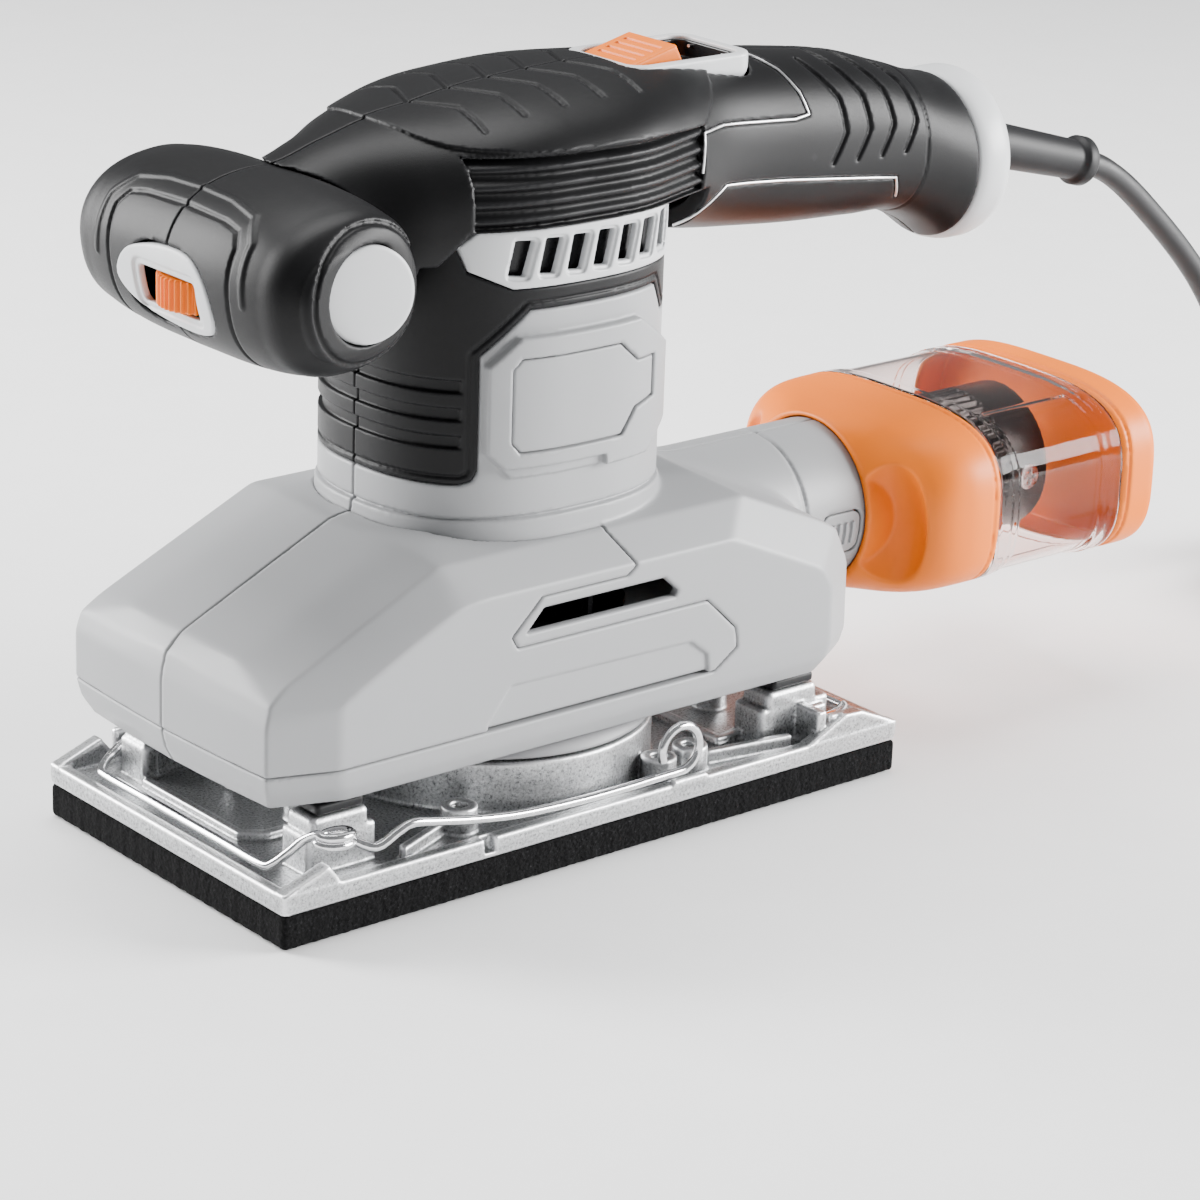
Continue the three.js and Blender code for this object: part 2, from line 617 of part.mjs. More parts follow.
function cordTube() {
  const tube = solid(tubeAlong(CORD_ROUTE.map(([x, y, z]) => v3(x, y, z)), CORD_D / 2, 8, 24));
  return mainBody(cut(tube, coilRing(GAP)));
}

// The cord's far end leaves the outer turn on a tangent and runs straight into the plug.
const EXIT_ANGLE = -Math.PI / 2;
const OUTER_TURN_R = 50.2;          // the outermost turn's centre line
const EXIT_POINT = v3(COIL_CENTRE[0] + OUTER_TURN_R * Math.cos(EXIT_ANGLE),
  COIL_CENTRE[1] + OUTER_TURN_R * Math.sin(EXIT_ANGLE), 7.8);
const EXIT_WAY = v3(Math.sin(EXIT_ANGLE), -Math.cos(EXIT_ANGLE), 0);
const PLUG_AT = 27;                 // distance from the tangent point to the plug

function cordTail() {
  const start = EXIT_POINT.clone().addScaledVector(EXIT_WAY, 10);
  const end = EXIT_POINT.clone().addScaledVector(EXIT_WAY, PLUG_AT - GAP);
  return mainBody(cut(rod(start, end, CORD_D / 2, CORD_D / 2, 10), coilRing(GAP)));
}

function cordTie() {
  const x = COIL_CENTRE[0] + COIL_MID_R;
  const y = COIL_CENTRE[1];
  const reach = COIL_WIDTH / 2 + 0.5;
  const outer = box(x - reach - 1.2, x + reach + 1.2, y - 3, y + 3, 0.1, COIL_HEIGHT + 1.7);
  const inner = box(x - reach, x + reach, y - 5, y + 5, -5, COIL_HEIGHT + 0.5);
  return cut(outer, inner);
}

// Two-pin mains plug lying flat beside the coil: distance along it, half width, half height.
const PLUG_STATIONS = [[0, 4, 4], [5, 4.6, 4.4], [9, 8.6, 7], [28, 12.4, 7.6], [34, 13, 7.6]];

function plug() {
  const body = loft(PLUG_STATIONS.map(([x, a, b]) => ovalAcrossX(x, 0, a, b, 2.6, 16)));
  const pins = [-9.5, 9.5].map((y) => rodX(y, 0, 33, 52, 2, 12));
  const turn = new THREE.Matrix4().makeRotationZ(Math.atan2(EXIT_WAY.y, EXIT_WAY.x));
  const start = EXIT_POINT.clone().addScaledVector(EXIT_WAY, PLUG_AT);
  return geometryOf(join(body, ...pins)).applyMatrix4(turn).translate(...start);
}

// ---------------------------------------------------------------- motor
const SHAFT_R = 4;

function stator() {
  const ring = cut(rodZ(0, 0, 92, 128, 29, 20), rodZ(0, 0, 80, 140, 19, 20));
  const coils = [-1, 1].map((side) => cut(
    rodZ(0, 0, 88.5, 131.5, 27, 20), rodZ(0, 0, 80, 140, 20.5, 20), box(-30, 30, -14, 14, 80, 140),
    side < 0 ? box(-40, 40, 0, 40, 80, 140) : box(-40, 40, -40, 0, 80, 140),
  ));
  return join(ring, ...coils);
}

function armature() {
  let core = rodZ(0, 0, 94, 126, 18, 24);
  for (let i = 0; i < 8; i += 1) {
    core = cut(core, box(16, 20, -1.2, 1.2, 90, 130).rotate([0, 0, i * 45]));
  }
  const windings = join(rodZ(0, 0, 89.5, 94.5, 15, 20), rodZ(0, 0, 125.5, 130.5, 15, 20));
  return cut(join(core, windings), rodZ(0, 0, 80, 140, SHAFT_R + GAP, 20));
}

function commutator() {
  let ring = rodZ(0, 0, 132.5, 143, 10, 24);
  for (let i = 0; i < 8; i += 1) {
    ring = cut(ring, box(8, 12, -0.25, 0.25, 130, 145).rotate([0, 0, i * 45]));
  }
  return cut(ring, rodZ(0, 0, 130, 150, SHAFT_R + GAP, 20));
}

function rotorShaft() {
  const shaft = rodZ(0, 0, 32.4, 155, SHAFT_R, 20);
  const crank = rodZ(0, 0, 31, 35.5, 9, 24);
  const pin = rodZ(ECCENTRIC, 0, 20.2, 32, 5, 20);
  return join(shaft, crank, pin);
}

function coolingFan() {
  const plate = rodZ(0, 0, 50, 52, 33, 28);
  const hub = rodZ(0, 0, 50, 62, 9, 20);
  let fan = join(plate, hub);
  for (let i = 0; i < 9; i += 1) {
    const blade = box(8, 32.4, -0.8, 0.8, 51, 64).rotate([0, 0, i * 40]);
    fan = join(fan, blade);
  }
  return cut(fan, rodZ(0, 0, 40, 70, SHAFT_R + GAP, 20));
}

function counterweight() {
  const disc = rodZ(0, 0, 38, 47, 22, 28);
  const notch = box(0, 30, -30, 30, 41.5, 60);
  return cut(disc, notch, rodZ(0, 0, 30, 60, SHAFT_R + GAP, 20));
}

const bearing = (z0, z1, bore, outer, x = 0) => cut(
  rodZ(x, 0, z0, z1, outer, 20), rodZ(x, 0, z0 - 5, z1 + 5, bore, 20));

function upperBearingHolder() {
  return cut(rodZ(0, 0, 146.5, 155.5, 14, 20), rodZ(0, 0, 140, 148, 8, 20), rodZ(0, 0, 148, 160, 9.5 + GAP, 20));
}

function brush(side) {
  const y = side < 0 ? [-26, -12.4] : [12.4, 26];
  const holder = box(-5, 5, ...y, 133.5, 142.5);
  const carbonY = side < 0 ? [-13, -10.4] : [10.4, 13];
  return join(holder, box(-3, 3, ...carbonY, 135.5, 140.5));
}

// ---------------------------------------------------------------- pad assembly
const SEAT = { x0: 56, x1: 74, y0: 27.5, y1: 38, top: 24.8 };

function legSeat(front, side) {
  const [x0, x1] = front ? [-79, -60] : [SEAT.x0, SEAT.x1 + 4];
  const [y0, y1] = side < 0 ? [-SEAT.y1, -SEAT.y0] : [SEAT.y0, SEAT.y1];
  const block = prismZ(rounded(x0, x1, y0, y1, 2, 2), PLATE_TOP - 1, SEAT.top - 4);
  const [lx, ly] = legCentre(front, side);
  const post = prismZ(rounded(lx - 8, lx + 8, ly - 5, ly + 5, 2, 2), PLATE_TOP - 1, SEAT.top);
  return join(block, post);
}

const legCentre = (front, side) => [front ? -70 : 66, side * 33];

function leg(front, side) {
  const [x, y] = legCentre(front, side);
  const foot = prismZ(rounded(x - 6.5, x + 6.5, y - 5, y + 5, 2, 2), SEAT.top + GAP, SEAT.top + 3);
  const neck = prismZ(rounded(x - 4.5, x + 4.5, y - 3.6, y + 3.6, 1.5, 2), SEAT.top + 2, 33);
  const head = prismZ(rounded(x - 6.5, x + 6.5, y - 5, y + 5, 2, 2), 32, 34.4 - GAP);
  return join(foot, neck, head);
}

function cornerGusset(front, side) {
  const outer = side * PAD_WIDTH / 2;
  const inner = side * (PAD_WIDTH / 2 - 4);
  const reach = front
    ? [[-92.2, RAIL_TOP], [-80, 17.8], [-77, 14]]
    : [[63.4, RAIL_TOP], [75, 18.8], [80.5, 18.5], [92.2, RAIL_TOP]];
  const rise = front ? 0.6 : 0;
  const top = reach.flatMap(([x, z], i) => {
    const peak = i > 0 && i + 1 < reach.length ? rise : 0;
    return [v3(x, outer, z), v3(x, inner, z + peak)];
  });
  const foot = [reach[0][0], reach[reach.length - 1][0]].flatMap((x) =>
    [v3(x, outer, PLATE_BOTTOM), v3(x, inner, PLATE_BOTTOM)]);
  return hull([...top, ...foot]);
}

const SCREW_BOSSES = [[-35, 36], [33, 38], [22, 39.5], [-62, 12], [62, 12]];

function basePlate() {
  const slab = box(-PAD_LENGTH / 2, PAD_LENGTH / 2, -PAD_WIDTH / 2, PAD_WIDTH / 2, PLATE_BOTTOM, PLATE_TOP);
  const rim = cut(
    box(-PAD_LENGTH / 2, PAD_LENGTH / 2, -PAD_WIDTH / 2, PAD_WIDTH / 2, PLATE_BOTTOM, RAIL_TOP),
    box(-PAD_LENGTH / 2 + 3, PAD_LENGTH / 2 - 3, -PAD_WIDTH / 2 + 3.4, PAD_WIDTH / 2 - 3.4, PLATE_BOTTOM - 5, 30),
  );
  const boss = cut(rodZ(0, 0, PLATE_TOP - 1, 24, 40.5, 32), rodZ(0, 0, PLATE_TOP, 40, 36.5, 32));
  const hub = rodZ(0, 0, PLATE_TOP - 1, 29.5, 19.5, 24);
  let plate = join(slab, rim, boss, hub);
  for (let i = 0; i < 6; i += 1) {
    plate = join(plate, box(17, 38, -1.3, 1.3, PLATE_TOP - 1, 20).rotate([0, 0, i * 60 + 30]));
  }
  for (const front of [true, false]) {
    for (const side of [-1, 1]) {
      plate = join(plate, cornerGusset(front, side), legSeat(front, side));
    }
  }
  for (const turn of [0, 180]) {
    // Raised front island, clamp lug, hook tab on the rail and long ribs, the same at both ends.
    const islandOutline = [[-80, 27], [-74, 31], [-48, 31], [-48, -16], [-74, -16], [-80, -12]];
    const island = prismZ(islandOutline, PLATE_TOP - 1, 13.2);
    const lug = join(box(-76, -71, 37.4, 39.4, PLATE_TOP - 1, 19), box(-76, -71, 44.4, 46.4, PLATE_TOP - 1, 19));
    const lugBack = box(-69.8, -67, 34, 46.4, PLATE_TOP - 1, 20.5);
    const tab = box(20, 30.4, -PAD_WIDTH / 2, -PAD_WIDTH / 2 + 2, RAIL_TOP - 1, 14.2);
    const rib = hull([[-56, -43.4], [-38, -36], [-38, -33.5], [-56, -41]].flatMap(([x, y]) =>
      [v3(x, y, PLATE_TOP - 1), v3(x, y, 14.6)]));
    const rearRib = hull([[38, -37], [62, -40.6], [62, -42.6], [38, -39]].flatMap(([x, y]) =>
      [v3(x, y, PLATE_TOP - 1), v3(x, y, 14.8)]));
    plate = join(plate, ...[island, lug, lugBack, tab, rib, rearRib].map((piece) => piece.rotate([0, 0, turn])));
    for (const [x, y] of SCREW_BOSSES) {
      const pillar = rodZ(x, -y, PLATE_TOP - 1, 17.8, 4.3, 10);
      plate = join(plate, pillar.rotate([0, 0, turn]));
    }
    const notch = box(-36.6, -33.4, -PAD_WIDTH / 2 - 1, -PAD_WIDTH / 2 + 2.6, 9.8, 20).rotate([0, 0, turn]);
    plate = cut(plate, notch);
  }
  plate = cut(plate, rodZ(0, 0, PLATE_TOP + 0.4, 40, 15.2 + GAP, 20));
  return plate;
}

function bearingCover() {
  const profile = [[21, 25.4], [40, 24.6], [40.5, 25.4], [38, 27.6], [33, 28.8], [21, 29.2], [21, 25.4]];
  const points = profile.map(([r, h]) => new THREE.Vector2(r, h));
  return solid(new THREE.LatheGeometry(points, 28).rotateX(Math.PI / 2));
}

// Wire of the front clamp: far end in its lug, along the front rim, over the corner, spring turns, lever, ring.
const WIRE_R = 1.1;
const LEVER_Y = -46.5;
const CLAMP_AXIS = [-86.9, 14.2];
const RING_CENTRE = [22.6, 21.6];
const RING_R = 5.7;

function clampPath() {
  const [ax, az] = CLAMP_AXIS;
  const start = [
    v3(-72.5, 42.5, 17), v3(-77, 40.9, 16.4), v3(-82, 38.2, 15.4), v3(ax + 0.8, 34.8, az + 0.3), v3(ax, 31.5, az),
    v3(ax, 16, az), v3(ax, 0, az), v3(ax, -16, az), v3(ax, -31, az), v3(ax + 0.8, -34.2, az + 0.8),
    v3(ax + 3.4, -37.2, az + 4.2), v3(ax + 5.6, -39.4, az + 7.2),
  ];
  const spring = [];
  const turns = 1.5;
  for (let i = 0; i <= 18; i += 1) {
    const angle = Math.PI * 0.95 + (i / 18) * turns * 2 * Math.PI;
    spring.push(v3(-75.6 + 4.4 * Math.cos(angle), -43.2 + 3.2 * Math.sin(angle), 23.6 - 3 * (i / 18)));
  }
  const lever = [
    v3(-66.5, LEVER_Y, 18.6), v3(-60.6, LEVER_Y, 20.8), v3(-56.4, LEVER_Y, 22), v3(-50, LEVER_Y, 20.8),
    v3(-38, LEVER_Y, 18.4), v3(-25, LEVER_Y, 16.6), v3(-8, LEVER_Y, 15.7), v3(6, LEVER_Y, 15.6),
    v3(15, LEVER_Y, 15.8),
  ];
  const ring = [];
  for (let i = 0; i <= 14; i += 1) {
    const angle = -Math.PI * 0.5 + (i / 14) * 1.62 * Math.PI;
    ring.push(v3(RING_CENTRE[0] + RING_R * Math.cos(angle), LEVER_Y, RING_CENTRE[1] + RING_R * Math.sin(angle)));
  }
  return [...start, ...spring, ...lever, ...ring];
}

function frontClamp() {
  return tubeAlong(clampPath(), WIRE_R, 6, 64);
}

// ---------------------------------------------------------------- dust box
const boxSection = (x, a, b) => ovalAcrossX(x, BOX_Z, a, b, BOX_POWER, 24);
const mouthSection = (x, a, b, power) => ovalAcrossX(x, TUBE_Z, a, b, power, 24);

function dustBoxAdapter() {
  const outer = loft([
    mouthSection(103, 23.2, 22.4, 2), mouthSection(109, 31, 22.8, 2.4), mouthSection(114, 36.6, 23, 2.9),
    boxSection(122, BOX_A - 0.4, BOX_B - 0.2), boxSection(BOX_FRONT_SEAM - GAP / 2, BOX_A, BOX_B),
  ]);
  const hollow = loft([
    mouthSection(110, 27, 19.8, 2.3), mouthSection(115, 34, 20.4, 2.9),
    boxSection(122, BOX_A - 3, BOX_B - 2.8), boxSection(140, BOX_A - 2.4, BOX_B - 2.4),
  ]);
  const socket = rodX(0, TUBE_Z, 90, 106, TUBE_R + 0.7, 28);
  const spigot = rodX(0, TUBE_Z, 90, 107.8, 16.4, 24);
  const bore = rodX(0, TUBE_Z, 80, 112, 14.4, 24);
  return cut(join(cut(outer, socket, hollow), spigot), bore);
}

function dustBoxCanister() {
  const x0 = BOX_FRONT_SEAM + GAP / 2;
  const x1 = BOX_REAR_SEAM - GAP / 2;
  const shell = cut(
    loft([boxSection(x0, BOX_A, BOX_B), boxSection(x1, BOX_A, BOX_B)]),
    loft([boxSection(x0 - 5, BOX_A - 2, BOX_B - 2), boxSection(x1 + 5, BOX_A - 2, BOX_B - 2)]),
  );
  return shell;
}

function dustBoxEndCap() {
  const x0 = BOX_REAR_SEAM + GAP / 2;
  const outer = loft([
    boxSection(x0, BOX_A, BOX_B), boxSection(184, BOX_A, BOX_B), boxSection(187.5, BOX_A - 1.6, BOX_B - 1.6),
    boxSection(BOX_END, BOX_A - 5, BOX_B - 5),
  ]);
  const hollow = loft([boxSection(x0 - 5, BOX_A - 2.4, BOX_B - 2.4), boxSection(185, BOX_A - 2.4, BOX_B - 2.4)]);
  return cut(outer, hollow);
}

function filterTube() {
  const tube = cut(rodX(0, TUBE_Z, 110.4, 170, 18.8, 24), rodX(0, TUBE_Z, 100, 180, 17, 24));
  return cut(tube, rodY(163, TUBE_Z, -25, -10, 2.2, 12));
}

function filterScrew() {
  const head = rodY(163, TUBE_Z, -21, -19.2, 3.6, 12);
  const shank = rodY(163, TUBE_Z, -19.3, -14, 1.8, 12);
  const cross = join(box(160.6, 165.4, -22, -20.2, TUBE_Z - 0.45, TUBE_Z + 0.45),
    box(162.55, 163.45, -22, -20.2, TUBE_Z - 2.4, TUBE_Z + 2.4));
  return cut(join(head, shank), cross);
}

// ---------------------------------------------------------------- assembly
const housingBody = housing();
const coverBody = frontCover();
const trimBody = columnTrim();
const grilleBody = ventGrille();
const topBody = topShell();
const gripShellBody = frontGrip();

for (const [name, side] of SIDES) {
  const right = side > 0;
  const housingHalf = half(housingBody, side);
  place(`housing_${name}`, right ? rightScrewWork(housingHalf, LOW_SCREWS.slice(1), 44) : housingHalf, GREY);
  const coverHalf = half(coverBody, side);
  place(`front_cover_${name}`, right ? rightScrewWork(coverHalf, LOW_SCREWS.slice(0, 1), 44) : coverHalf, GREY);
  place(`column_trim_${name}`, half(trimBody, side), BLACK);
  place(`vent_grille_${name}`, half(grilleBody, side), PALE);
  place(`top_shell_${name}`, half(topBody, side), BLACK);
  place(`front_grip_${name}`, half(gripShellBody, side), BLACK);
  place(`side_disc_${name}`, endDisc(side, 0, 3), PALE);
  place(`badge_plate_${name}`, badgePlate(side, 0, 1.3), GREY);
  place(`latch_button_${name}`, latchButton(side), GREY);
  place(`brush_${name}`, brush(side), BRASS);
}

place('dial_bezel', dialBezel(), PALE);
place('speed_dial', speedDial(), ORANGE);
place('speed_board', speedBoard(), BOARD);
place('switch_bezel', switchBezel(), PALE);
place('switch_button', switchButton(), ORANGE);
place('switch_module', box(32, 60, -9, 9, 152, 165.6), DARK);
place('rear_collar', rearCollar(), PALE);
place('cord_boot', cordBoot(), BLACK);
place('cord', cordTube(), BLACK);
place('cord_coil', coilRing(0), BLACK);
place('cord_tail', cordTail(), BLACK);
place('cord_tie', cordTie(), DARK);
place('plug', plug(), BLACK);

place('motor_stator', stator(), DARK);
place('armature', armature(), COPPER);
place('commutator', commutator(), COPPER);
place('rotor_shaft', rotorShaft(), STEEL);
place('cooling_fan', coolingFan(), DARK);
place('counterweight', counterweight(), STEEL);
place('lower_bearing', bearing(77.5, 84.5, SHAFT_R + GAP, 13), STEEL);
place('upper_bearing', bearing(148.4, 154.4, SHAFT_R + GAP, 9.5), STEEL);
place('bearing_holder', upperBearingHolder(), DARK);
place('pad_bearing', bearing(17, 29.2, 5 + ORBIT_ROOM, 15.2), STEEL);

place('base_plate', basePlate(), ALLOY);
place('foam_pad', box(-PAD_LENGTH / 2, PAD_LENGTH / 2, -PAD_WIDTH / 2, PAD_WIDTH / 2, 0, FOAM_TOP), FOAM);
place('bearing_cover', bearingCover(), GREY);
place('front_clamp', frontClamp(), STEEL);
place('rear_clamp', frontClamp().rotateZ(Math.PI), STEEL);
for (const [name, side] of SIDES) {
  place(`leg_front_${name}`, leg(true, side), BLACK);
  place(`leg_rear_${name}`, leg(false, side), BLACK);
}

place('dust_box_adapter', dustBoxAdapter(), ORANGE);
place('dust_box_canister', dustBoxCanister(), CLEAR);
place('dust_box_end_cap', dustBoxEndCap(), ORANGE);
place('filter_tube', filterTube(), DARK);
place('filter_screw', filterScrew(), STEEL);
LOW_SCREWS.forEach(([x, z], i) => place(`housing_screw_${i + 1}`, screw(x, z, HOUSING_HALF_WIDTH), STEEL));

export default sander;
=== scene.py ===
"""Looks of the orbital sander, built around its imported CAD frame.

Shells, grips, castings and the dust box are signed-distance shapes in millimetres, meshed as quads here.
Wires and cords are curves. The speed dial is at -X, the left side at -Y, and up is +Z.
"""

import json
import math

import bmesh
import bpy
import numpy as np
from mathutils import Matrix, Vector


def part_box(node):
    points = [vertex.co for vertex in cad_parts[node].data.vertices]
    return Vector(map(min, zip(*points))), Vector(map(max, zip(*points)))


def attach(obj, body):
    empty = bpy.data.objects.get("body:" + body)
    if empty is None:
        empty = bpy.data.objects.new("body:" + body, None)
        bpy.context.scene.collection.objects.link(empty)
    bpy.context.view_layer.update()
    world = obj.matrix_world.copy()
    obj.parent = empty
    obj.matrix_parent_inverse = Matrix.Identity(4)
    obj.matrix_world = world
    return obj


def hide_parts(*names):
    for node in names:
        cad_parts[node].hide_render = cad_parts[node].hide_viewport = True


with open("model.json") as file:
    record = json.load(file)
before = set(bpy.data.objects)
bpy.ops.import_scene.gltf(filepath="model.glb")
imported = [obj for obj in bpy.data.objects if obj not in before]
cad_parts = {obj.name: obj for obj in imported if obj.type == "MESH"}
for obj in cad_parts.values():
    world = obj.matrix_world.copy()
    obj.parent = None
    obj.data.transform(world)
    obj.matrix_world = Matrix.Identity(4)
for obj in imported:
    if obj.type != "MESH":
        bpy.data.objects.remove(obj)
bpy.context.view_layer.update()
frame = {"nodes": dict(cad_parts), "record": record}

MM = 0.001
SIDES = (("left", -1), ("right", 1))

# ---------------------------------------------------------------- camera
CAMERA_PLACE = (-0.55778, -0.70165, 0.37342)
CAMERA_RIGHT = (0.77080, -0.63623, 0.03283)
CAMERA_UP = (0.19211, 0.28126, 0.94020)
CAMERA_BACK = (-0.60742, -0.71840, 0.33903)


def new_object(name, data):
    thing = bpy.data.objects.new(name, data)
    bpy.context.scene.collection.objects.link(thing)
    return thing


def make_camera():
    data = bpy.data.cameras.new("camera")
    data.lens = 120
    data.sensor_width = 36
    data.clip_start = 0.05
    camera = new_object("camera", data)
    turn = Matrix((CAMERA_RIGHT, CAMERA_UP, CAMERA_BACK)).transposed().to_4x4()
    camera.matrix_world = Matrix.Translation(CAMERA_PLACE) @ turn
    bpy.context.scene.camera = camera


make_camera()


# ---------------------------------------------------------------- materials
class Nodes:
    """A material's node tree, with short calls for the nodes that the recipes below use."""

    def __init__(self, name):
        self.material = bpy.data.materials.new(name)
        self.material.use_nodes = True
        self.tree = self.material.node_tree
        self.shader = self.tree.nodes["Principled BSDF"]
        self.coords = self.tree.nodes.new("ShaderNodeTexCoord").outputs["Object"]

    def new(self, kind, **values):
        node = self.tree.nodes.new(kind)
        for key, value in values.items():
            setattr(node, key, value)
        return node

    def link(self, source, target):
        self.tree.links.new(source, target)

    def noise(self, scale, detail=3.0, roughness=0.6, stretch=None):
        node = self.new("ShaderNodeTexNoise")
        node.inputs["Scale"].default_value = scale
        node.inputs["Detail"].default_value = detail
        node.inputs["Roughness"].default_value = roughness
        source = self.coords
        if stretch:
            mapping = self.new("ShaderNodeMapping")
            mapping.inputs["Scale"].default_value = stretch
            self.link(source, mapping.inputs["Vector"])
            source = mapping.outputs["Vector"]
        self.link(source, node.inputs["Vector"])
        return node.outputs["Fac"]

    def voronoi(self, scale):
        node = self.new("ShaderNodeTexVoronoi")
        node.inputs["Scale"].default_value = scale
        self.link(self.coords, node.inputs["Vector"])
        return node.outputs["Distance"]

    def ramp(self, source, stops):
        node = self.new("ShaderNodeValToRGB")
        ramp = node.color_ramp
        while len(ramp.elements) < len(stops):
            ramp.elements.new(0.5)
        for element, (place, color) in zip(ramp.elements, stops):
            element.position = place
            element.color = (*color, 1) if len(color) == 3 else color
        self.link(source, node.inputs["Fac"])
        return node.outputs["Color"]

    def span(self, source, low, high, source_low=0.3, source_high=0.7):
        node = self.new("ShaderNodeMapRange")
        node.inputs["From Min"].default_value = source_low
        node.inputs["From Max"].default_value = source_high
        node.inputs["To Min"].default_value = low
        node.inputs["To Max"].default_value = high
        self.link(source, node.inputs["Value"])
        return node.outputs["Result"]

    def bump(self, height, distance, strength=1.0, under=None):
        node = self.new("ShaderNodeBump")
        node.inputs["Strength"].default_value = strength
        node.inputs["Distance"].default_value = distance
        self.link(height, node.inputs["Height"])
        if under is not None:
            self.link(under, node.inputs["Normal"])
        return node.outputs["Normal"]

    def edge_wear_and_highlight(self):
        """1 on outside edges, 0 on flats: real wear on the black plastic, a painted highlight on the cast
        alloy.
        """
        node = self.new("ShaderNodeNewGeometry")
        return self.span(node.outputs["Pointiness"], 0, 1, 0.5, 0.56)

    def mix(self, factor, first, second):
        node = self.new("ShaderNodeMix", data_type="RGBA")
        self.link(factor, node.inputs[0])
        for value, socket in ((first, node.inputs[6]), (second, node.inputs[7])):
            if isinstance(value, tuple):
                socket.default_value = (*value, 1)
            else:
                self.link(value, socket)
        return node.outputs[2]

    def set(self, **values):
        for key, value in values.items():
            socket = self.shader.inputs[key.replace("_", " ")]
            if isinstance(value, (int, float)):
                socket.default_value = value
            elif isinstance(value, tuple):
                socket.default_value = (*value, 1)
            else:
                self.link(value, socket)
        return self


def moulded(name, color, rough, grain_size, grain_height, spread=0.05, wear=None, gloss=0.5):
    """Injection-moulded plastic: fine spark grain, slight shade drift, polish on handled edges."""
    nodes = Nodes(name)
    grain = nodes.noise(1 / (grain_size * MM), 4, 0.65)
    drift = nodes.noise(18, 3)
    darker = tuple(c * (1 - spread) for c in color)
    lighter = tuple(min(1.0, c * (1 + spread)) for c in color)
    shade = nodes.ramp(drift, ((0.3, darker), (0.7, lighter)))
    if wear:
        shade = nodes.mix(nodes.edge_wear_and_highlight(), shade, wear)
    nodes.set(Base_Color=shade, Roughness=nodes.span(grain, rough - 0.05, rough + 0.07),
              Normal=nodes.bump(grain, grain_height * MM, 0.5))
    nodes.shader.inputs["Specular IOR Level"].default_value = gloss
    return nodes.material


def clear_plastic():
    """Tinted clear polycarbonate with faint moulding streaks."""
    nodes = Nodes("clear_polycarbonate")
    streaks = nodes.noise(60, 2, 0.5, (0.2, 1, 1))
    nodes.set(Base_Color=nodes.ramp(streaks, ((0.3, (1.0, 0.87, 0.84)), (0.7, (1.0, 0.93, 0.91)))),
              Roughness=nodes.span(streaks, 0.02, 0.05), Normal=nodes.bump(streaks, 0.04 * MM, 0.3))
    nodes.shader.inputs["Transmission Weight"].default_value = 1.0
    nodes.shader.inputs["IOR"].default_value = 1.2
    return nodes.material


def cast_alloy():
    """Tumbled aluminium casting: coarse bright grain, dark specks in the pits, and a painted highlight that
    lightens the outside edges towards near-white.
    """
    nodes = Nodes("cast_aluminium")
    grain = nodes.noise(1500, 5, 0.7)
    lumps = nodes.noise(260, 3, 0.6)
    pit, body, peak = (0.1, 0.1, 0.105), (0.42, 0.425, 0.43), (0.68, 0.69, 0.7)
    shade = nodes.ramp(grain, ((0.32, pit), (0.46, body), (0.7, peak)))
    # painted highlight: the outside edges are mixed towards near-white in the base colour
    shade = nodes.mix(nodes.edge_wear_and_highlight(), shade, (0.93, 0.93, 0.94))
    under = nodes.bump(lumps, 0.12 * MM, 0.5)
    nodes.set(Base_Color=shade, Metallic=1.0, Roughness=nodes.span(grain, 0.5, 0.28),
              Normal=nodes.bump(grain, 0.12 * MM, 0.7, under))
    return nodes.material


def polished(name, color, rough, stretch=(1, 1, 1)):
    """Drawn or turned metal with fine lines along its length."""
    nodes = Nodes(name)
    lines = nodes.noise(900, 3, 0.6, stretch)
    darker = tuple(c * 0.82 for c in color)
    nodes.set(Base_Color=nodes.ramp(lines, ((0.3, darker), (0.65, color))), Metallic=1.0,
              Roughness=nodes.span(lines, rough, rough + 0.12), Normal=nodes.bump(lines, 0.02 * MM, 0.4))
    return nodes.material


def open_foam():
    """Black fibrous pad: deep pits between fibres, greyer fibre tips."""
    nodes = Nodes("fibre_foam")
    fibres = nodes.noise(1400, 5, 0.75)
    cells = nodes.voronoi(900)
    pit, body, tip = (0.001, 0.001, 0.001), (0.006, 0.006, 0.0065), (0.05, 0.05, 0.052)
    shade = nodes.ramp(fibres, ((0.35, pit), (0.6, body), (0.78, tip)))
    under = nodes.bump(cells, 0.5 * MM, 0.8)
    nodes.set(Base_Color=shade, Roughness=0.95, Normal=nodes.bump(fibres, 0.4 * MM, 1.0, under))
    nodes.shader.inputs["Specular IOR Level"].default_value = 0.15
    return nodes.material


def sheath():
    """Cord rubber with faint lengthwise scuffs."""
    nodes = Nodes("cord_rubber")
    scuff = nodes.noise(320, 4, 0.6, (0.3, 1, 1))
    nodes.set(Base_Color=nodes.ramp(scuff, ((0.35, (0.005, 0.005, 0.006)), (0.75, (0.013, 0.013, 0.014)))),
              Roughness=nodes.span(scuff, 0.42, 0.6), Normal=nodes.bump(scuff, 0.05 * MM, 0.4))
    return nodes.material


def circuit_board():
    nodes = Nodes("circuit_board")
    tracks = nodes.voronoi(420)
    shade = nodes.ramp(tracks, ((0.2, (0.02, 0.16, 0.06)), (0.5, (0.05, 0.3, 0.12))))
    nodes.set(Base_Color=shade, Roughness=0.4)
    return nodes.material


GREY = (0.34, 0.344, 0.352)
PALE = (0.60, 0.61, 0.62)
ORANGE = (0.9, 0.185, 0.0)
BLACK = (0.0045, 0.0045, 0.005)

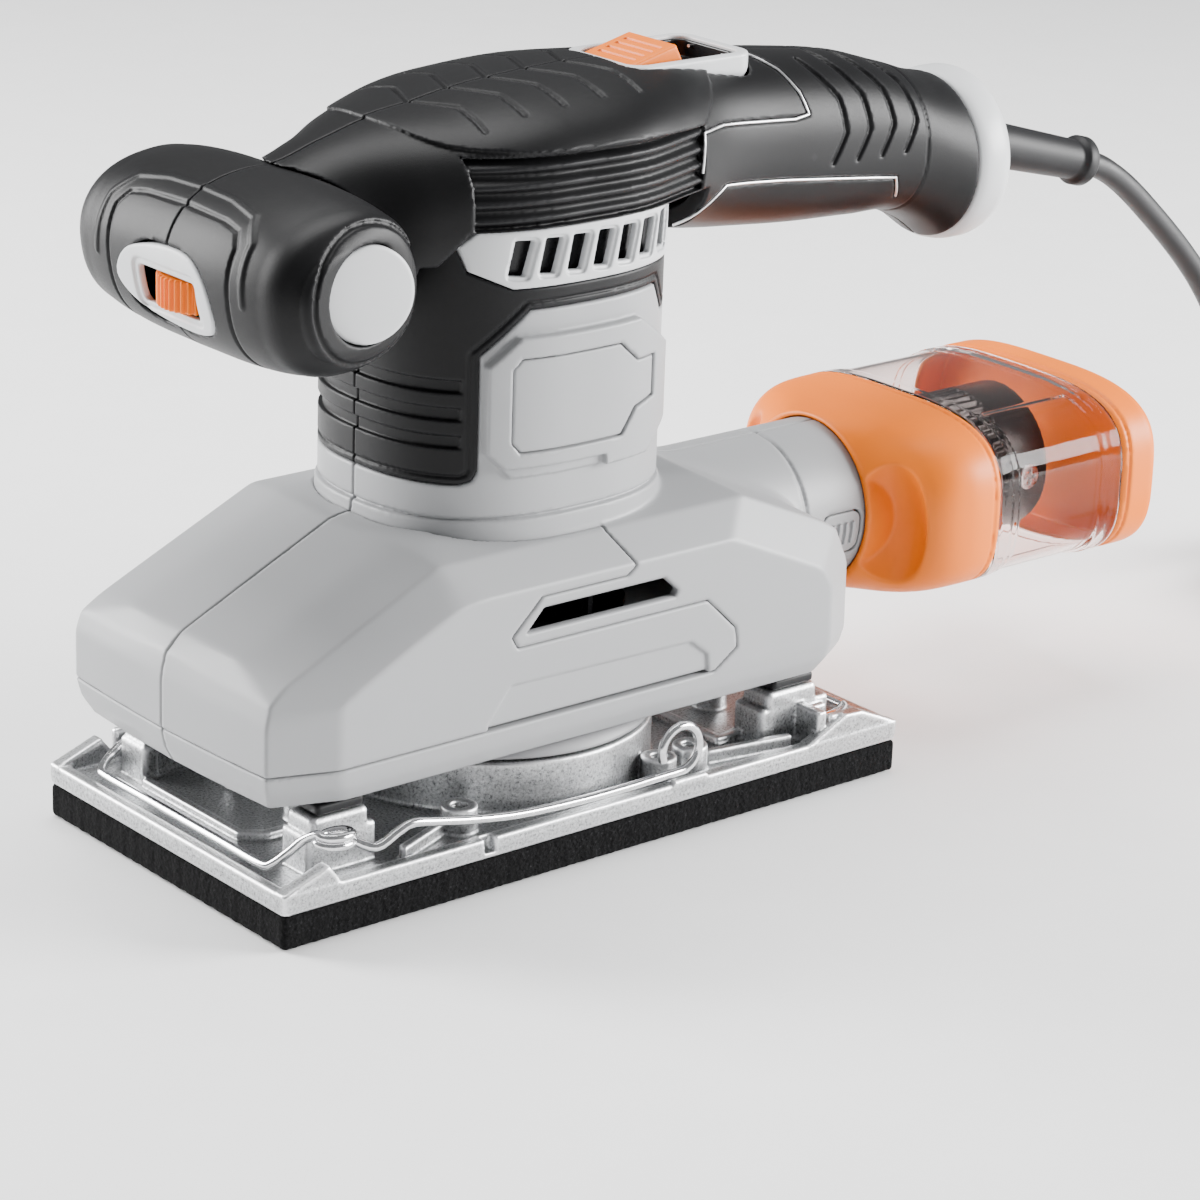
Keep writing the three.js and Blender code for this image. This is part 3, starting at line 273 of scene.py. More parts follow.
MATERIALS = {
    "housing_grey": moulded("grey_housing", GREY, 0.42, 0.35, 0.03, 0.02),
    "pale_trim": moulded("pale_plastic", PALE, 0.36, 0.3, 0.02, 0.02),
    "black_shell": moulded("black_plastic", BLACK, 0.42, 0.28, 0.07, 0.12, wear=(0.01, 0.01, 0.011), gloss=0.2),
    "orange_plastic": moulded("orange_plastic", ORANGE, 0.42, 0.4, 0.02, 0.03, gloss=0.3),
    "inner_plastic": moulded("inner_plastic", (0.008, 0.008, 0.009), 0.3, 0.4, 0.02, 0.1, gloss=0.35),
    "pad_cover": moulded("pad_cover_grey", (0.3, 0.3, 0.31), 0.5, 0.35, 0.03, 0.04),
    "rubber": moulded("black_rubber", (0.008, 0.008, 0.009), 0.5, 0.25, 0.05, 0.1, gloss=0.3),
    "cord_sheath": sheath(),
    "clear_plastic": clear_plastic(),
    "cast_alloy": cast_alloy(),
    "foam": open_foam(),
    "chrome_wire": polished("chrome_wire", (0.82, 0.82, 0.83), 0.1),
    "steel": polished("turned_steel", (0.6, 0.6, 0.61), 0.22),
    "motor_steel": polished("stacked_steel", (0.2, 0.2, 0.21), 0.4, (0.1, 0.1, 4)),
    "copper": polished("copper_winding", (0.72, 0.34, 0.16), 0.3, (0.2, 0.2, 5)),
    "brass": polished("brass", (0.75, 0.56, 0.25), 0.28),
    "circuit_board": circuit_board(),
}
SILVER_LINE = polished("silver_line", (0.85, 0.85, 0.86), 0.3)

BODY_OF = {node: body for body, nodes in frame["record"]["behaviour"]["bodies"].items() for node in nodes}
SLOT_OF = {part["node"]: part["material_slot"] for part in frame["record"]["subparts"]}


def dress_cad_nodes():
    """Every CAD node takes its slot's material; the pieces below replace most of them."""
    for name, thing in frame["nodes"].items():
        thing.data.materials.clear()
        thing.data.materials.append(MATERIALS[SLOT_OF[name]])


dress_cad_nodes()


def adopt(piece, *replaced):
    """The piece rides with the first CAD node's body, takes its slot's material and hides the CAD nodes that it
    stands for.
    """
    node = replaced[0]
    slot = SLOT_OF[node]
    piece.name = piece.name.replace(".001", "_skin")
    piece.data.materials.append(MATERIALS[slot])
    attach(piece, BODY_OF[node])
    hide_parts(*replaced)
    return piece


def add_on(piece, body, slot, material=None):
    """A piece with no CAD node of its own."""
    piece.data.materials.append(material or MATERIALS[slot])
    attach(piece, body)
    return piece


# ---------------------------------------------------------------- cord
CORD_D = 6.5
COIL_CENTRE = (310, -38.6)
COIL_OUTER_R = 48.8         # where the cord joins the upper layer
COIL_PITCH = 1.12 * CORD_D  # distance between neighbouring turns
COIL_TURNS = 3              # turns in each of the two layers
COIL_STEP_DOWN = 0.306      # share of a turn over which the cord passes from the upper to the lower layer
UPPER_Z = 10.1
LOWER_Z = 3.5
PLUG_Z = 7.8
EXIT_TURN = 0.5             # the cord leaves the lower layer this far round from where it joined
PLUG_AT = 27                # distance from the exit's tangent point to the plug
BOOT_START = (148.4, 0, 143.6)
BOOT_END = (195, 0, 131.4)
CORD_ROUTE = [
    (195.4, 0, 131.3), (202, 0, 128.9), (208.5, 0, 125.1), (214.6, 0, 120.6), (221, 0, 115.2),
    (228.6, 0, 108.5), (236.8, 0, 100.7), (244.8, 0, 92), (252.3, 0.5, 82.3), (258.4, 1.2, 71.8),
    (263, 2.2, 60.7), (266.6, 3.2, 49.3), (270.3, 4.4, 38.8), (274.9, 5.6, 29.4), (280.8, 7, 21.6),
    (288, 8.5, 15.8), (296.2, 9.5, 12.1), (304, 10, 10.5),
]


def ease(t):
    t = min(1.0, max(0.0, t))
    return t * t * (3 - 2 * t)


def coil_point(turn):
    """Where the coiled cord is after that many turns: inward on the upper layer, outward on the lower one."""
    inner = COIL_OUTER_R - COIL_PITCH * COIL_TURNS
    down = turn - COIL_TURNS
    out = max(0.0, down - COIL_STEP_DOWN)
    radius = COIL_OUTER_R - COIL_PITCH * turn if down < 0 else inner + COIL_PITCH * out
    angle = math.pi / 2 - 2 * math.pi * turn
    height = UPPER_Z + (LOWER_Z - UPPER_Z) * ease(down / COIL_STEP_DOWN)
    x, y = COIL_CENTRE
    return Vector((x + radius * math.cos(angle), y + radius * math.sin(angle), height))


COIL_END = 2 * COIL_TURNS + EXIT_TURN
EXIT_POINT = coil_point(COIL_END)
EXIT_WAY = (coil_point(COIL_END) - coil_point(COIL_END - 0.001)).normalized()


def coil_route():
    """Points round the coil, 18 to a turn, and the short way out into the plug."""
    count = int(18 * COIL_END)
    points = [coil_point(COIL_END * i / count) for i in range(count + 1)]
    for share in (0.35, 0.7, 1.08):
        place = EXIT_POINT + EXIT_WAY * PLUG_AT * share
        place.z = LOWER_Z + (PLUG_Z - LOWER_Z) * ease(share * 1.05)
        points.append(place)
    return points


def smooth_route(points, per_span=6):
    """Catmull-Rom points through a route, close enough together for a smooth tube."""
    ends = [tuple(2 * a - b for a, b in zip(points[0], points[1]))]
    ends += list(points)
    ends.append(tuple(2 * a - b for a, b in zip(points[-1], points[-2])))
    result = []
    for i in range(1, len(ends) - 2):
        p0, p1, p2, p3 = (Vector(p) for p in ends[i - 1:i + 3])
        for step in range(per_span):
            t = step / per_span
            result.append(0.5 * (2 * p1 + (p2 - p0) * t + (2 * p0 - 5 * p1 + 4 * p2 - p3) * t * t
                                 + (3 * p1 - p0 - 3 * p2 + p3) * t ** 3))
    result.append(Vector(points[-1]))
    return result


def wire(name, points, diameter):
    """A round wire along points in millimetres, as a curve of one open spline."""
    data = bpy.data.curves.new(name, "CURVE")
    data.dimensions = "3D"
    data.bevel_depth = diameter / 2 * MM
    data.bevel_resolution = 4
    data.use_fill_caps = True
    spline = data.splines.new("POLY")
    spline.points.add(len(points) - 1)
    for point, place in zip(spline.points, points):
        point.co = (*(Vector(place) * MM), 1)
    spline.use_smooth = True
    return new_object(name, data)


def make_cord():
    route = smooth_route(CORD_ROUTE + coil_route())
    return adopt(wire("mains_cord", route, CORD_D), "cord", "cord_coil", "cord_tail")


def lathe(name, profile, origin, direction, sides=64):
    """A turned mesh: profile is (radius, distance along) in millimetres, from the axis to the axis."""
    vertices = []
    faces = []
    turn = Vector((0, 0, 1)).rotation_difference(Vector(direction))
    rows = []
    for radius, along in profile:
        if radius < 1e-6:
            rows.append([len(vertices)])
            vertices.append((0, 0, along))
            continue
        rows.append(list(range(len(vertices), len(vertices) + sides)))
        for i in range(sides):
            angle = 2 * math.pi * i / sides
            vertices.append((radius * math.cos(angle), radius * math.sin(angle), along))
    for low, high in zip(rows, rows[1:]):
        for i in range(sides):
            j = (i + 1) % sides
            if len(low) == 1:
                faces.append((low[0], high[j], high[i]))
            elif len(high) == 1:
                faces.append((low[i], low[j], high[0]))
            else:
                faces.append((low[i], low[j], high[j], high[i]))
    places = [(turn @ Vector(v) + Vector(origin)) * MM for v in vertices]
    return mesh_object(name, places, faces)


def mesh_object(name, vertices, faces):
    data = bpy.data.meshes.new(name)
    data.from_pydata(vertices, [], faces)
    data.validate()
    data.shade_smooth()
    return new_object(name, data)


# ---------------------------------------------------------------- signed-distance shapes
# A shape is a function of p = (x, y, z), three arrays in millimetres: negative inside, and near the
# surface about the distance to it.
def length2(a, b):
    return np.sqrt(a * a + b * b)


def join(a, b, k=0.0):
    """Union, with a fillet of about k."""
    if k <= 0:
        return np.minimum(a, b)
    h = np.clip(0.5 + 0.5 * (b - a) / k, 0, 1)
    return b + (a - b) * h - k * h * (1 - h)


def meet(a, b, k=0.0):
    """Intersection, with a rounded edge of about k."""
    return -join(-a, -b, k)


def cut(a, b, k=0.0):
    return meet(a, -b, k)


def outline(points, u, v):
    """Signed distance to a closed flat outline."""
    best = np.full_like(u, 1e9)
    sign = np.ones_like(u)
    for (ax, ay), (bx, by) in zip(points, points[-1:] + points[:-1]):
        ex, ey = bx - ax, by - ay
        wx, wy = u - ax, v - ay
        t = np.clip((wx * ex + wy * ey) / (ex * ex + ey * ey), 0, 1)
        best = np.minimum(best, (wx - ex * t) ** 2 + (wy - ey * t) ** 2)
        above, below, left = v >= ay, v < by, ex * wy > ey * wx
        flip = (above & below & left) | (~above & ~below & ~left)
        sign = np.where(flip, -sign, sign)
    return sign * np.sqrt(best)


def rounded_loop(points, steps=4):
    """A closed smooth outline through the points."""
    loop = []
    count = len(points)
    for i in range(count):
        a, b, c, d = (Vector(points[(i + j) % count]) for j in (-1, 0, 1, 2))
        for j in range(steps):
            t = j / steps
            loop.append(tuple(0.5 * (2 * b + (c - a) * t + (2 * a - 5 * b + 4 * c - d) * t * t
                                     + (3 * b - a - 3 * c + d) * t ** 3)))
    return loop


def strand(points, u, v):
    """Distance to an open flat line."""
    best = np.full_like(u, 1e9)
    for (ax, ay), (bx, by) in zip(points, points[1:]):
        ex, ey = bx - ax, by - ay
        t = np.clip(((u - ax) * ex + (v - ay) * ey) / (ex * ex + ey * ey), 0, 1)
        best = np.minimum(best, (u - ax - ex * t) ** 2 + (v - ay - ey * t) ** 2)
    return np.sqrt(best)


def block(p, x0, x1, y0, y1, z0, z1, r=0.0):
    """Box with rounded edges."""
    dx = np.abs(p[0] - (x0 + x1) / 2) - (x1 - x0) / 2 + r
    dy = np.abs(p[1] - (y0 + y1) / 2) - (y1 - y0) / 2 + r
    dz = np.abs(p[2] - (z0 + z1) / 2) - (z1 - z0) / 2 + r
    outside = np.sqrt(np.maximum(dx, 0) ** 2 + np.maximum(dy, 0) ** 2 + np.maximum(dz, 0) ** 2)
    return outside + np.minimum(np.maximum(np.maximum(dx, dy), dz), 0) - r


def rod_x(p, y, z, r):
    return length2(p[1] - y, p[2] - z) - r


def rod_y(p, x, z, r):
    return length2(p[0] - x, p[2] - z) - r


def rod_z(p, x, y, r):
    return length2(p[0] - x, p[1] - y) - r


def between(u, low, high):
    return np.abs(u - (low + high) / 2) - (high - low) / 2


def oval(u, v, a, b, power):
    """Near distance to a superellipse of half widths a and b."""
    rho = (np.abs(u / a) ** power + np.abs(v / b) ** power + 1e-12) ** (1 / power)
    gu = np.abs(u / a) ** (power - 1) / a
    gv = np.abs(v / b) ** (power - 1) / b
    slope = np.sqrt(gu * gu + gv * gv) / np.maximum(rho, 1e-6) ** (power - 1)
    return (rho - 1) / np.maximum(slope, 1 / max(np.max(a), np.max(b)) * 0.5)


def profile(points):
    """A smooth function through (place, value) points, without overshoot."""
    xs, ys = (np.array(c, float) for c in zip(*points))
    steps = np.diff(ys) / np.diff(xs)
    slopes = np.concatenate([[steps[0]], (steps[:-1] + steps[1:]) / 2, [steps[-1]]])
    turns = np.concatenate([[False], steps[:-1] * steps[1:] <= 0, [False]])
    slopes[turns] = 0
    table_x = np.linspace(xs[0], xs[-1], 400)
    i = np.clip(np.searchsorted(xs, table_x) - 1, 0, len(xs) - 2)
    width = xs[i + 1] - xs[i]
    t = (table_x - xs[i]) / width
    table_y = ((2 * t ** 3 - 3 * t ** 2 + 1) * ys[i] + (t ** 3 - 2 * t ** 2 + t) * width * slopes[i]
               + (3 * t ** 2 - 2 * t ** 3) * ys[i + 1] + (t ** 3 - t ** 2) * width * slopes[i + 1])
    return lambda u: np.interp(u, table_x, table_y).astype(np.float32)


def by_station(stations):
    """For rows of a place and some values, one smooth function of the place for each value."""
    return tuple(profile([(s[0], s[i]) for s in stations]) for i in range(1, len(stations[0])))


def hull_planes(corners):
    """Outward unit normals and offsets of a convex hull's faces."""
    mesh = bmesh.new()
    for corner in corners:
        mesh.verts.new(corner)
    bmesh.ops.convex_hull(mesh, input=mesh.verts)
    mesh.normal_update()
    planes = []
    for face in mesh.faces:
        n = face.normal
        d = n.dot(face.verts[0].co)
        if all(n.dot(m) < 0.9995 or abs(d - e) > 0.08 for m, e in planes):
            planes.append((n.copy(), d))
    mesh.free()
    middle = sum((Vector(c) for c in corners), Vector()) / len(corners)
    return [(n, d) if n.dot(middle) < d else (-n, -d) for n, d in planes]


def hull(planes, p, k):
    """Convex body of planes, with edges rounded by about k."""
    result = None
    for n, d in planes:
        side = p[0] * n.x + p[1] * n.y + p[2] * n.z - d
        result = side if result is None else meet(result, side, k)
    return result


# ---------------------------------------------------------------- meshing of signed-distance shapes
BLOCK = 8                   # cells along a block of the sparse grid
BAND = 1.8                  # blocks are kept where the middle is this many half diagonals from the surface
CHUNK = 1500                # blocks evaluated at once
CORNERS = np.array([(i, j, k) for i in (0, 1) for j in (0, 1) for k in (0, 1)])
EDGES = [(a, b) for a in range(8) for b in range(a + 1, 8) if np.abs(CORNERS[a] - CORNERS[b]).sum() == 1]
KEY = 1 << 20


def evaluate(shape, points):
    values = np.empty(len(points), np.float32)
    for start in range(0, len(points), 600000):
        part = points[start:start + 600000]
        values[start:start + 600000] = shape(tuple(part[:, i] for i in range(3)))
    return values


def live_blocks(shape, low, high, cell):
    size = BLOCK * cell
    counts = [int(math.ceil((b - a) / size)) + 1 for a, b in zip(low, high)]
    grid = np.stack(np.meshgrid(*[np.arange(n) for n in counts], indexing="ij"), -1).reshape(-1, 3)
    middles = (np.array(low) + (grid + 0.5) * size).astype(np.float32)
    near = np.abs(evaluate(shape, middles)) < BAND * size * math.sqrt(3) / 2
    return grid[near]


def crossing_cells(shape, low, blocks, cell):
    """Cells that the surface passes through: their indices, corner values and grid neighbours' signs."""
    span = np.arange(BLOCK + 1)
    offsets = np.stack(np.meshgrid(span, span, span, indexing="ij"), -1).reshape(-1, 3)
    found = []
    for start in range(0, len(blocks), CHUNK):
        base = blocks[start:start + CHUNK] * BLOCK
        index = base[:, None, :] + offsets[None]
        points = (np.array(low) + index.reshape(-1, 3) * cell).astype(np.float32)
        values = evaluate(shape, points).reshape(len(base), *[BLOCK + 1] * 3)
        corner = np.stack([values[:, i:BLOCK + i, j:BLOCK + j, k:BLOCK + k] for i, j, k in CORNERS], -1)
        inside = corner < 0
        live = inside.any(-1) & ~inside.all(-1)
        which = np.nonzero(live)
        cells = base[which[0]] + np.stack(which[1:], -1)
        found.append((cells, corner[live]))
    return np.concatenate([f[0] for f in found]), np.concatenate([f[1] for f in found])


def settle(shape, points, cell, rounds=2):
    """Moves points onto the surface along its gradient."""
    step = 0.2 * cell
    for _ in range(rounds):
        value = evaluate(shape, points)
        slope = np.empty_like(points)
        for axis in range(3):
            shift = np.zeros(3, np.float32)
            shift[axis] = step
            slope[:, axis] = (evaluate(shape, points + shift) - evaluate(shape, points - shift)) / (2 * step)
        size2 = np.maximum((slope ** 2).sum(1), 0.05)
        move = slope * (value / size2)[:, None]
        far = np.linalg.norm(move, axis=1)
        move *= np.minimum(1, 0.5 * cell / np.maximum(far, 1e-6))[:, None]
        points = points - move
    return points


def surface(shape, low, high, cell):
    """Vertices in millimetres and quads of a closed surface, one vertex to a crossed cell."""
    cells, corner = crossing_cells(shape, low, live_blocks(shape, low, high, cell), cell)
    total = np.zeros((len(cells), 3))
    count = np.zeros(len(cells))
    inside = corner < 0
    for a, b in EDGES:
        crossed = inside[:, a] != inside[:, b]
        t = corner[:, a] / np.where(crossed, corner[:, a] - corner[:, b], 1)
        place = CORNERS[a] + t[:, None] * (CORNERS[b] - CORNERS[a])
        total[crossed] += place[crossed]
        count += crossed
    vertices = (np.array(low) + (cells + total / count[:, None]) * cell).astype(np.float32)
    vertices = settle(shape, vertices, cell)
    keys = (cells[:, 0] * KEY + cells[:, 1]) * KEY + cells[:, 2]
    order = np.argsort(keys)
    ranked = keys[order]
    unit = np.array([KEY * KEY, KEY, 1])
    quads = []
    for axis, neighbour in ((0, 4), (1, 2), (2, 1)):
        crossed = inside[:, 0] != inside[:, neighbour]
        u, v = unit[(axis + 1) % 3], unit[(axis + 2) % 3]
        own = keys[crossed]
        ring = np.stack([own - u - v, own - v, own, own - u], -1)
        outward = inside[crossed, 0]
        ring[~outward] = ring[~outward][:, ::-1]
        place = np.clip(np.searchsorted(ranked, ring), 0, len(ranked) - 1)
        whole = (ranked[place] == ring).all(1)
        quads.append(order[place[whole]])
    return vertices, np.concatenate(quads)


def grow_mesh(name, shape, low, high, cell):
    """An object that is the shape's surface, meshed in cells of that size between the two corners."""
    cell = cell * 1
    vertices, quads = surface(shape, low, high, cell)
    vertices = vertices * MM
    quads = quads.astype(np.int32)
    data = bpy.data.meshes.new(name)
    data.vertices.add(len(vertices))
    data.vertices.foreach_set("co", vertices.ravel())
    data.loops.add(len(quads) * 4)
    data.loops.foreach_set("vertex_index", quads.ravel())
    data.polygons.add(len(quads))
    data.polygons.foreach_set("loop_start", np.arange(0, len(quads) * 4, 4, dtype=np.int32))
    data.polygons.foreach_set("use_smooth", np.ones(len(quads), bool))
    data.update(calc_edges=True)
    return new_object(name, data)


def grow_node(name, shape, low, high, cell):
    """A meshed piece in place of the CAD node of the same name."""
    return adopt(grow_mesh(name, shape, low, high, cell), name)


HALF_GAP = 0.12             # half of the seam between the left and right shells


def mirror_copy(piece, name):
    """The same mesh on the other side of the centre plane."""
    data = piece.data.copy()
    data.transform(Matrix.Scale(-1, 4, (0, 1, 0)))
    data.flip_normals()
    data.name = name
    return new_object(name, data)


def halves(name, shape, low, high, cell, right_shape=None):
    """Left and right shells; the right one mirrors the left one unless it has a shape of its own."""
    def left_half(p):
        return meet(shape(p), p[1] + HALF_GAP, 0.3)

    def right_half(p):
        return meet(right_shape(p), HALF_GAP - p[1], 0.3)

    left = grow_mesh(f"{name}_left", left_half, low, (high[0], 0.5, high[2]), cell)
    if right_shape:
        right = grow_mesh(f"{name}_right", right_half, (low[0], -0.5, low[2]), high, cell)
    else:
        right = mirror_copy(left, f"{name}_right")
    adopt(left, f"{name}_left")
    adopt(right, f"{name}_right")


def sink(f, region, depth, k=0.3):
    """Lowers the surface by depth inside the region."""
    return cut(f, meet(region, -(f + depth), k), k)


def lift(f, region, height, k=0.3):
    """Raises the surface by height inside the region."""
    return join(f, meet(f - height, region, k), k)


# ---------------------------------------------------------------- lower housing and motor column
WALL = 2.6
SEAM = 0.14                 # half of a visible seam
PARTING_Z = 37.7
SKIRT_BOTTOM = 29
COLUMN_X, COLUMN_A, COLUMN_B, COLUMN_POWER = -0.7, 39, 34.5, 2.5
COLUMN_TOP = 150
TUBE_Z, TUBE_R, TUBE_END = 55.9, 20.9, 104
UPPER_CORNERS = [
    (-92.5, 0, 37.7), (-92, 20, 37.7), (-90.75, 38.3, 37.7), (-74.4, 44, 37.7), (72, 44, 37.7),
    (82, 38, 37.7), (82, 0, 37.7), (-92.5, 0, 50.3), (-92, 20, 50.2), (-90.75, 38.3, 49.6), (-91.2, 0, 56),
    (-89.5, 37.8, 54), (-86.7, 0, 60.1), (-86.3, 20, 59.8), (-84.7, 37, 57.6), (-46, 0, 79.2),
    (-44.5, 22, 78.8), (-42.5, 36.3, 77.2), (-74.4, 44, 52.5), (-71.3, 44, 54.6), (-42.9, 44, 68.6),
    (-36.7, 44, 69.7), (39, 44, 69.8), (68.2, 44, 56.7), (71.4, 44, 52.2), (-36, 22, 80), (-36, 0, 80.4),
    (44, 22, 80), (45, 0, 80.4), (47.5, 36.3, 77.3), (74, 36.3, 65.9), (75, 0, 67.4), (79, 36.5, 62.8),
    (79.8, 0, 63.5), (81.7, 38, 54.5),
]
SKIRT_RING = [(-92.5, 0), (-92, 20), (-90.75, 38.3), (-74.4, 44), (72, 44), (82, 38), (82, 0)]
COVER_OUTLINE = [
    (-110, 37.7), (34.5, 37.7), (41.5, 42.5), (40.7, 47.5), (31.4, 56.2), (-25.3, 56.2),
    (-27, 59), (-18.6, 67.2), (6.5, 67.2), (9.2, 69.3), (5.2, 76.5), (4.7, 95), (-110, 95),
]
SIDE_SCREWS = [(-66, 47), (62, 45)]
SIDE_PANEL = [
    (-33.4, 30), (-33.4, 39), (-28, 46), (-26.8, 47.4), (26.9, 46.7), (32.1, 42.6), (32.5, 39), (33, 30),
]
SLOT_OUTLINE = [(-22.9, 59.2), (-17.9, 64.5), (17.9, 64.5), (22.3, 60.6), (21.3, 59.2)]
GREY_TOP = [
    (-60, 70), (60, 70), (60, 124), (27, 124), (22.8, 131.3), (-15.8, 131.3),
    (-26.3, 121.2), (-26.3, 94.2), (-27.3, 92), (-29.5, 91), (-60, 91),
]
GRILLE_OUTLINE = [
    (-31, 146.5), (-28.9, 140.6), (-20, 136.4), (60, 136.4), (60, 150), (-27.5, 150),
]
BADGE_OUTLINE = [
    (-26, 99), (-20, 92.5), (19, 92.5), (27, 99), (27, 117), (21, 121.5), (15, 125.5), (-19, 125.5), (-26, 119),
]
PLATE_OUTLINE = [
    (-20.5, 101), (-18.5, 98.8), (9.5, 98.8), (14, 104.5), (20.5, 106), (20.5, 115.5), (14.5, 115.5),
    (8.5, 120.5), (-18.5, 120.5), (-20.5, 118.5),
]


def one_sided(planes):
    return [(n, d) for n, d in planes if n.y > -0.001]


def mirrored(corners):
    return corners + [(x, -y, z) for x, y, z in corners if y > 0]


def skirt_corners():
    corners = [(x, y, PARTING_Z) for x, y in SKIRT_RING]
    corners += [(x + 0.9, max(0, y - 0.8), PARTING_Z - 4.5) for x, y in SKIRT_RING[:4]]
    corners += [(x - 0.9, max(0, y - 0.8), PARTING_Z - 4.5) for x, y in SKIRT_RING[4:]]
    corners += [(x + 3.2, max(0, y - 3), SKIRT_BOTTOM) for x, y in SKIRT_RING[:4]]
    corners += [(min(70, x - 3.2), max(0, y - 3), SKIRT_BOTTOM) for x, y in SKIRT_RING[4:]]
    return corners


UPPER_PLANES = one_sided(hull_planes(mirrored(UPPER_CORNERS)))
SKIRT_PLANES = one_sided(hull_planes(mirrored(skirt_corners())))
UPPER_OPEN = [(n, d) for n, d in UPPER_PLANES if n.z > -0.9]
SKIRT_OPEN = [(n, d) for n, d in SKIRT_PLANES if abs(n.z) < 0.9]


def folded(p):
    return p[0], np.abs(p[1]), p[2]


def column_oval(q):
    return oval(q[0] - COLUMN_X, q[1], COLUMN_A, COLUMN_B, COLUMN_POWER)


def lower_body(q):
    return join(hull(UPPER_PLANES, q, 0.45), hull(SKIRT_PLANES, q, 0.5), 0.3)


def lower_hollow(q):
    above = meet(hull(UPPER_OPEN, q, 1.0) + WALL, PARTING_Z - 2 - q[2])
    below = meet(hull(SKIRT_OPEN, q, 1.0) + WALL, q[2] - PARTING_Z)
    return join(above, below)


def housing_shape(p):
    q = folded(p)
    x, y, z = q
    column = column_oval(q)
    body = lower_body(q)
    foot = meet(column - 0.6, z - 82.4, 0.5)
    outer = join(body, meet(foot, 70 - z), 1.2)
    stem = meet(column, z - COLUMN_TOP)
    stem = lift(stem, meet(outline(BADGE_OUTLINE, x, z), 4 - y), 2.4, 0.3)
    stem = sink(stem, meet(outline(PLATE_OUTLINE, x, z) - 0.3, 4 - y), 1.6, 0.2)
    stem = sink(stem, between(z, 82.5, 83.3), 0.8, 0.2)
    outer = join(outer, meet(stem, outline(GREY_TOP, x, z) + SEAM, 0.3), 0.4)
    tube = meet(rod_x(q, 0, TUBE_Z, TUBE_R), between(x, 50, TUBE_END), 0.8)
    tube = sink(tube, between(x, 83.6, 84.6), 0.5, 0.3)
    outer = join(outer, tube, 2.2)
    stem_hollow = meet(column + WALL, 78 - z)
    shell = cut(cut(outer, lower_hollow(q), 0.3), stem_hollow, 0.3)
    deck = meet(hull(SKIRT_OPEN, q, 1.0) + WALL - 0.5, between(z, 34.4, 37.4), 0.3)
    shell = join(shell, cut(deck, rod_z(q, 0, 0, 37), 0.4), 0.4)
    shell = cut(shell, meet(rod_x(q, 0, TUBE_Z, TUBE_R - 2.3), 47 - x), 0.5)
    slot = meet(outline(SLOT_OUTLINE, x, z), 38 - y)
    shell = cut(shell, slot, 0.5)
    latch = meet(block(q, 89.2, 102.3, 10, 30, 47.7, 59.3, 2.5), 10 - y)
    shell = cut(shell, latch, 0.2)
    cover = meet(outline(COVER_OUTLINE, x, z) - SEAM, 0.2 + 0.6 - column)
    return cut(shell, cover, 0.3)


def cover_shape(p):
    q = folded(p)
    x, y, z = q
    body = cut(lower_body(q), lower_hollow(q), 0.3)
    body = sink(body, meet(outline(SIDE_PANEL, x, z), 42 - y), 0.7, 0.35)
    body = cut(body, meet(column_oval(q) - 0.6 - 2 * SEAM, 60 - z), 0.3)
    return meet(body, outline(COVER_OUTLINE, x, z) + SEAM, 0.35)


def column_trim_shape(p):
    q = folded(p)
    x, y, z = q
    column = column_oval(q)
    grey = outline(GREY_TOP, x, z)
    ring = meet(meet(column, between(z, 90, COLUMN_TOP - 0.1)), -(column + WALL + 1.6))
    for middle in (101, 107.5, 114):
        ring = sink(ring, meet(between(z, middle - 1.5, middle + 1.5), x + 29.5), 1.1, 0.3)
    ring = sink(ring, np.abs(grey - 1.9) - 0.35, 0.4, 0.25)
    above = meet(outline(SHELL_REGION, x, z) - SEAM, x + 27)
    return meet(ring, -join(join(grey - SEAM, outline(GRILLE_OUTLINE, x, z) - SEAM), above), 0.35)


def grille_window(x, z, i):
    foot = -19.5 + 7.4 * i
    return outline([(foot - 1, 139.8), (foot + 2.1, 139.6), (foot + 4, 146.8), (foot + 0.4, 147)], x, z) - 0.5


def grille_shape(p):
    q = folded(p)
    x, y, z = q
    column = column_oval(q)
    ring = meet(column - 0.5, -(column + WALL))
    windows = grille_window(x, z, 0)
    for i in range(1, 7):
        windows = np.minimum(windows, grille_window(x, z, i))
    ring = sink(ring, windows - 0.8, 0.6, 0.3)
    ring = cut(ring, windows, 0.4)
    return meet(ring, outline(GRILLE_OUTLINE, x, z) + SEAM, 0.35)


def vent_shade_sheet_shape(p):
    """Painted shade: a dark sheet just inside the vent windows, standing in for the shade inside the column."""
    q = folded(p)
    column = column_oval(q)
    ring = meet(meet(column + WALL + 0.6, -(column + WALL + 2)), between(q[2], 135.5, 149.6), 0.4)
    return meet(ring, -34 - q[0])


def badge_shape(p):
    q = folded(p)
    x, y, z = q
    column = column_oval(q)
    plate = meet(column - 2.0, -(column - 0.9))
    return meet(meet(plate, outline(PLATE_OUTLINE, x, z) + 0.1, 0.4), 4 - y)


def latch_shape(p):
    q = folded(p)
    y = q[1]
    skin = meet(rod_x(q, 0, TUBE_Z, TUBE_R - 0.2), -rod_x(q, 0, TUBE_Z, TUBE_R - 2))
    for i in range(4):
        rib = block(q, 92.2 + 2.2 * i, 93.3 + 2.2 * i, 19.2, 30, 50.5, 56.5, 0.4)
        skin = join(skin, meet(rib, rod_x(q, 0, TUBE_Z, TUBE_R + 0.6)), 0.4)
    return meet(meet(skin, block(q, 89.6, 101.9, 5, 40, 48.1, 58.9, 2.5), 0.4), 10 - y)


def screw_bores(shape):
    """The same shape with the two bores for the screws of the right side."""
    def bored(p):
        f = shape(p)
        for x, z in SIDE_SCREWS:
            f = cut(f, meet(rod_y(p, x, z, 3.5), 39.5 - p[1]), 0.4)
        return f
    return bored


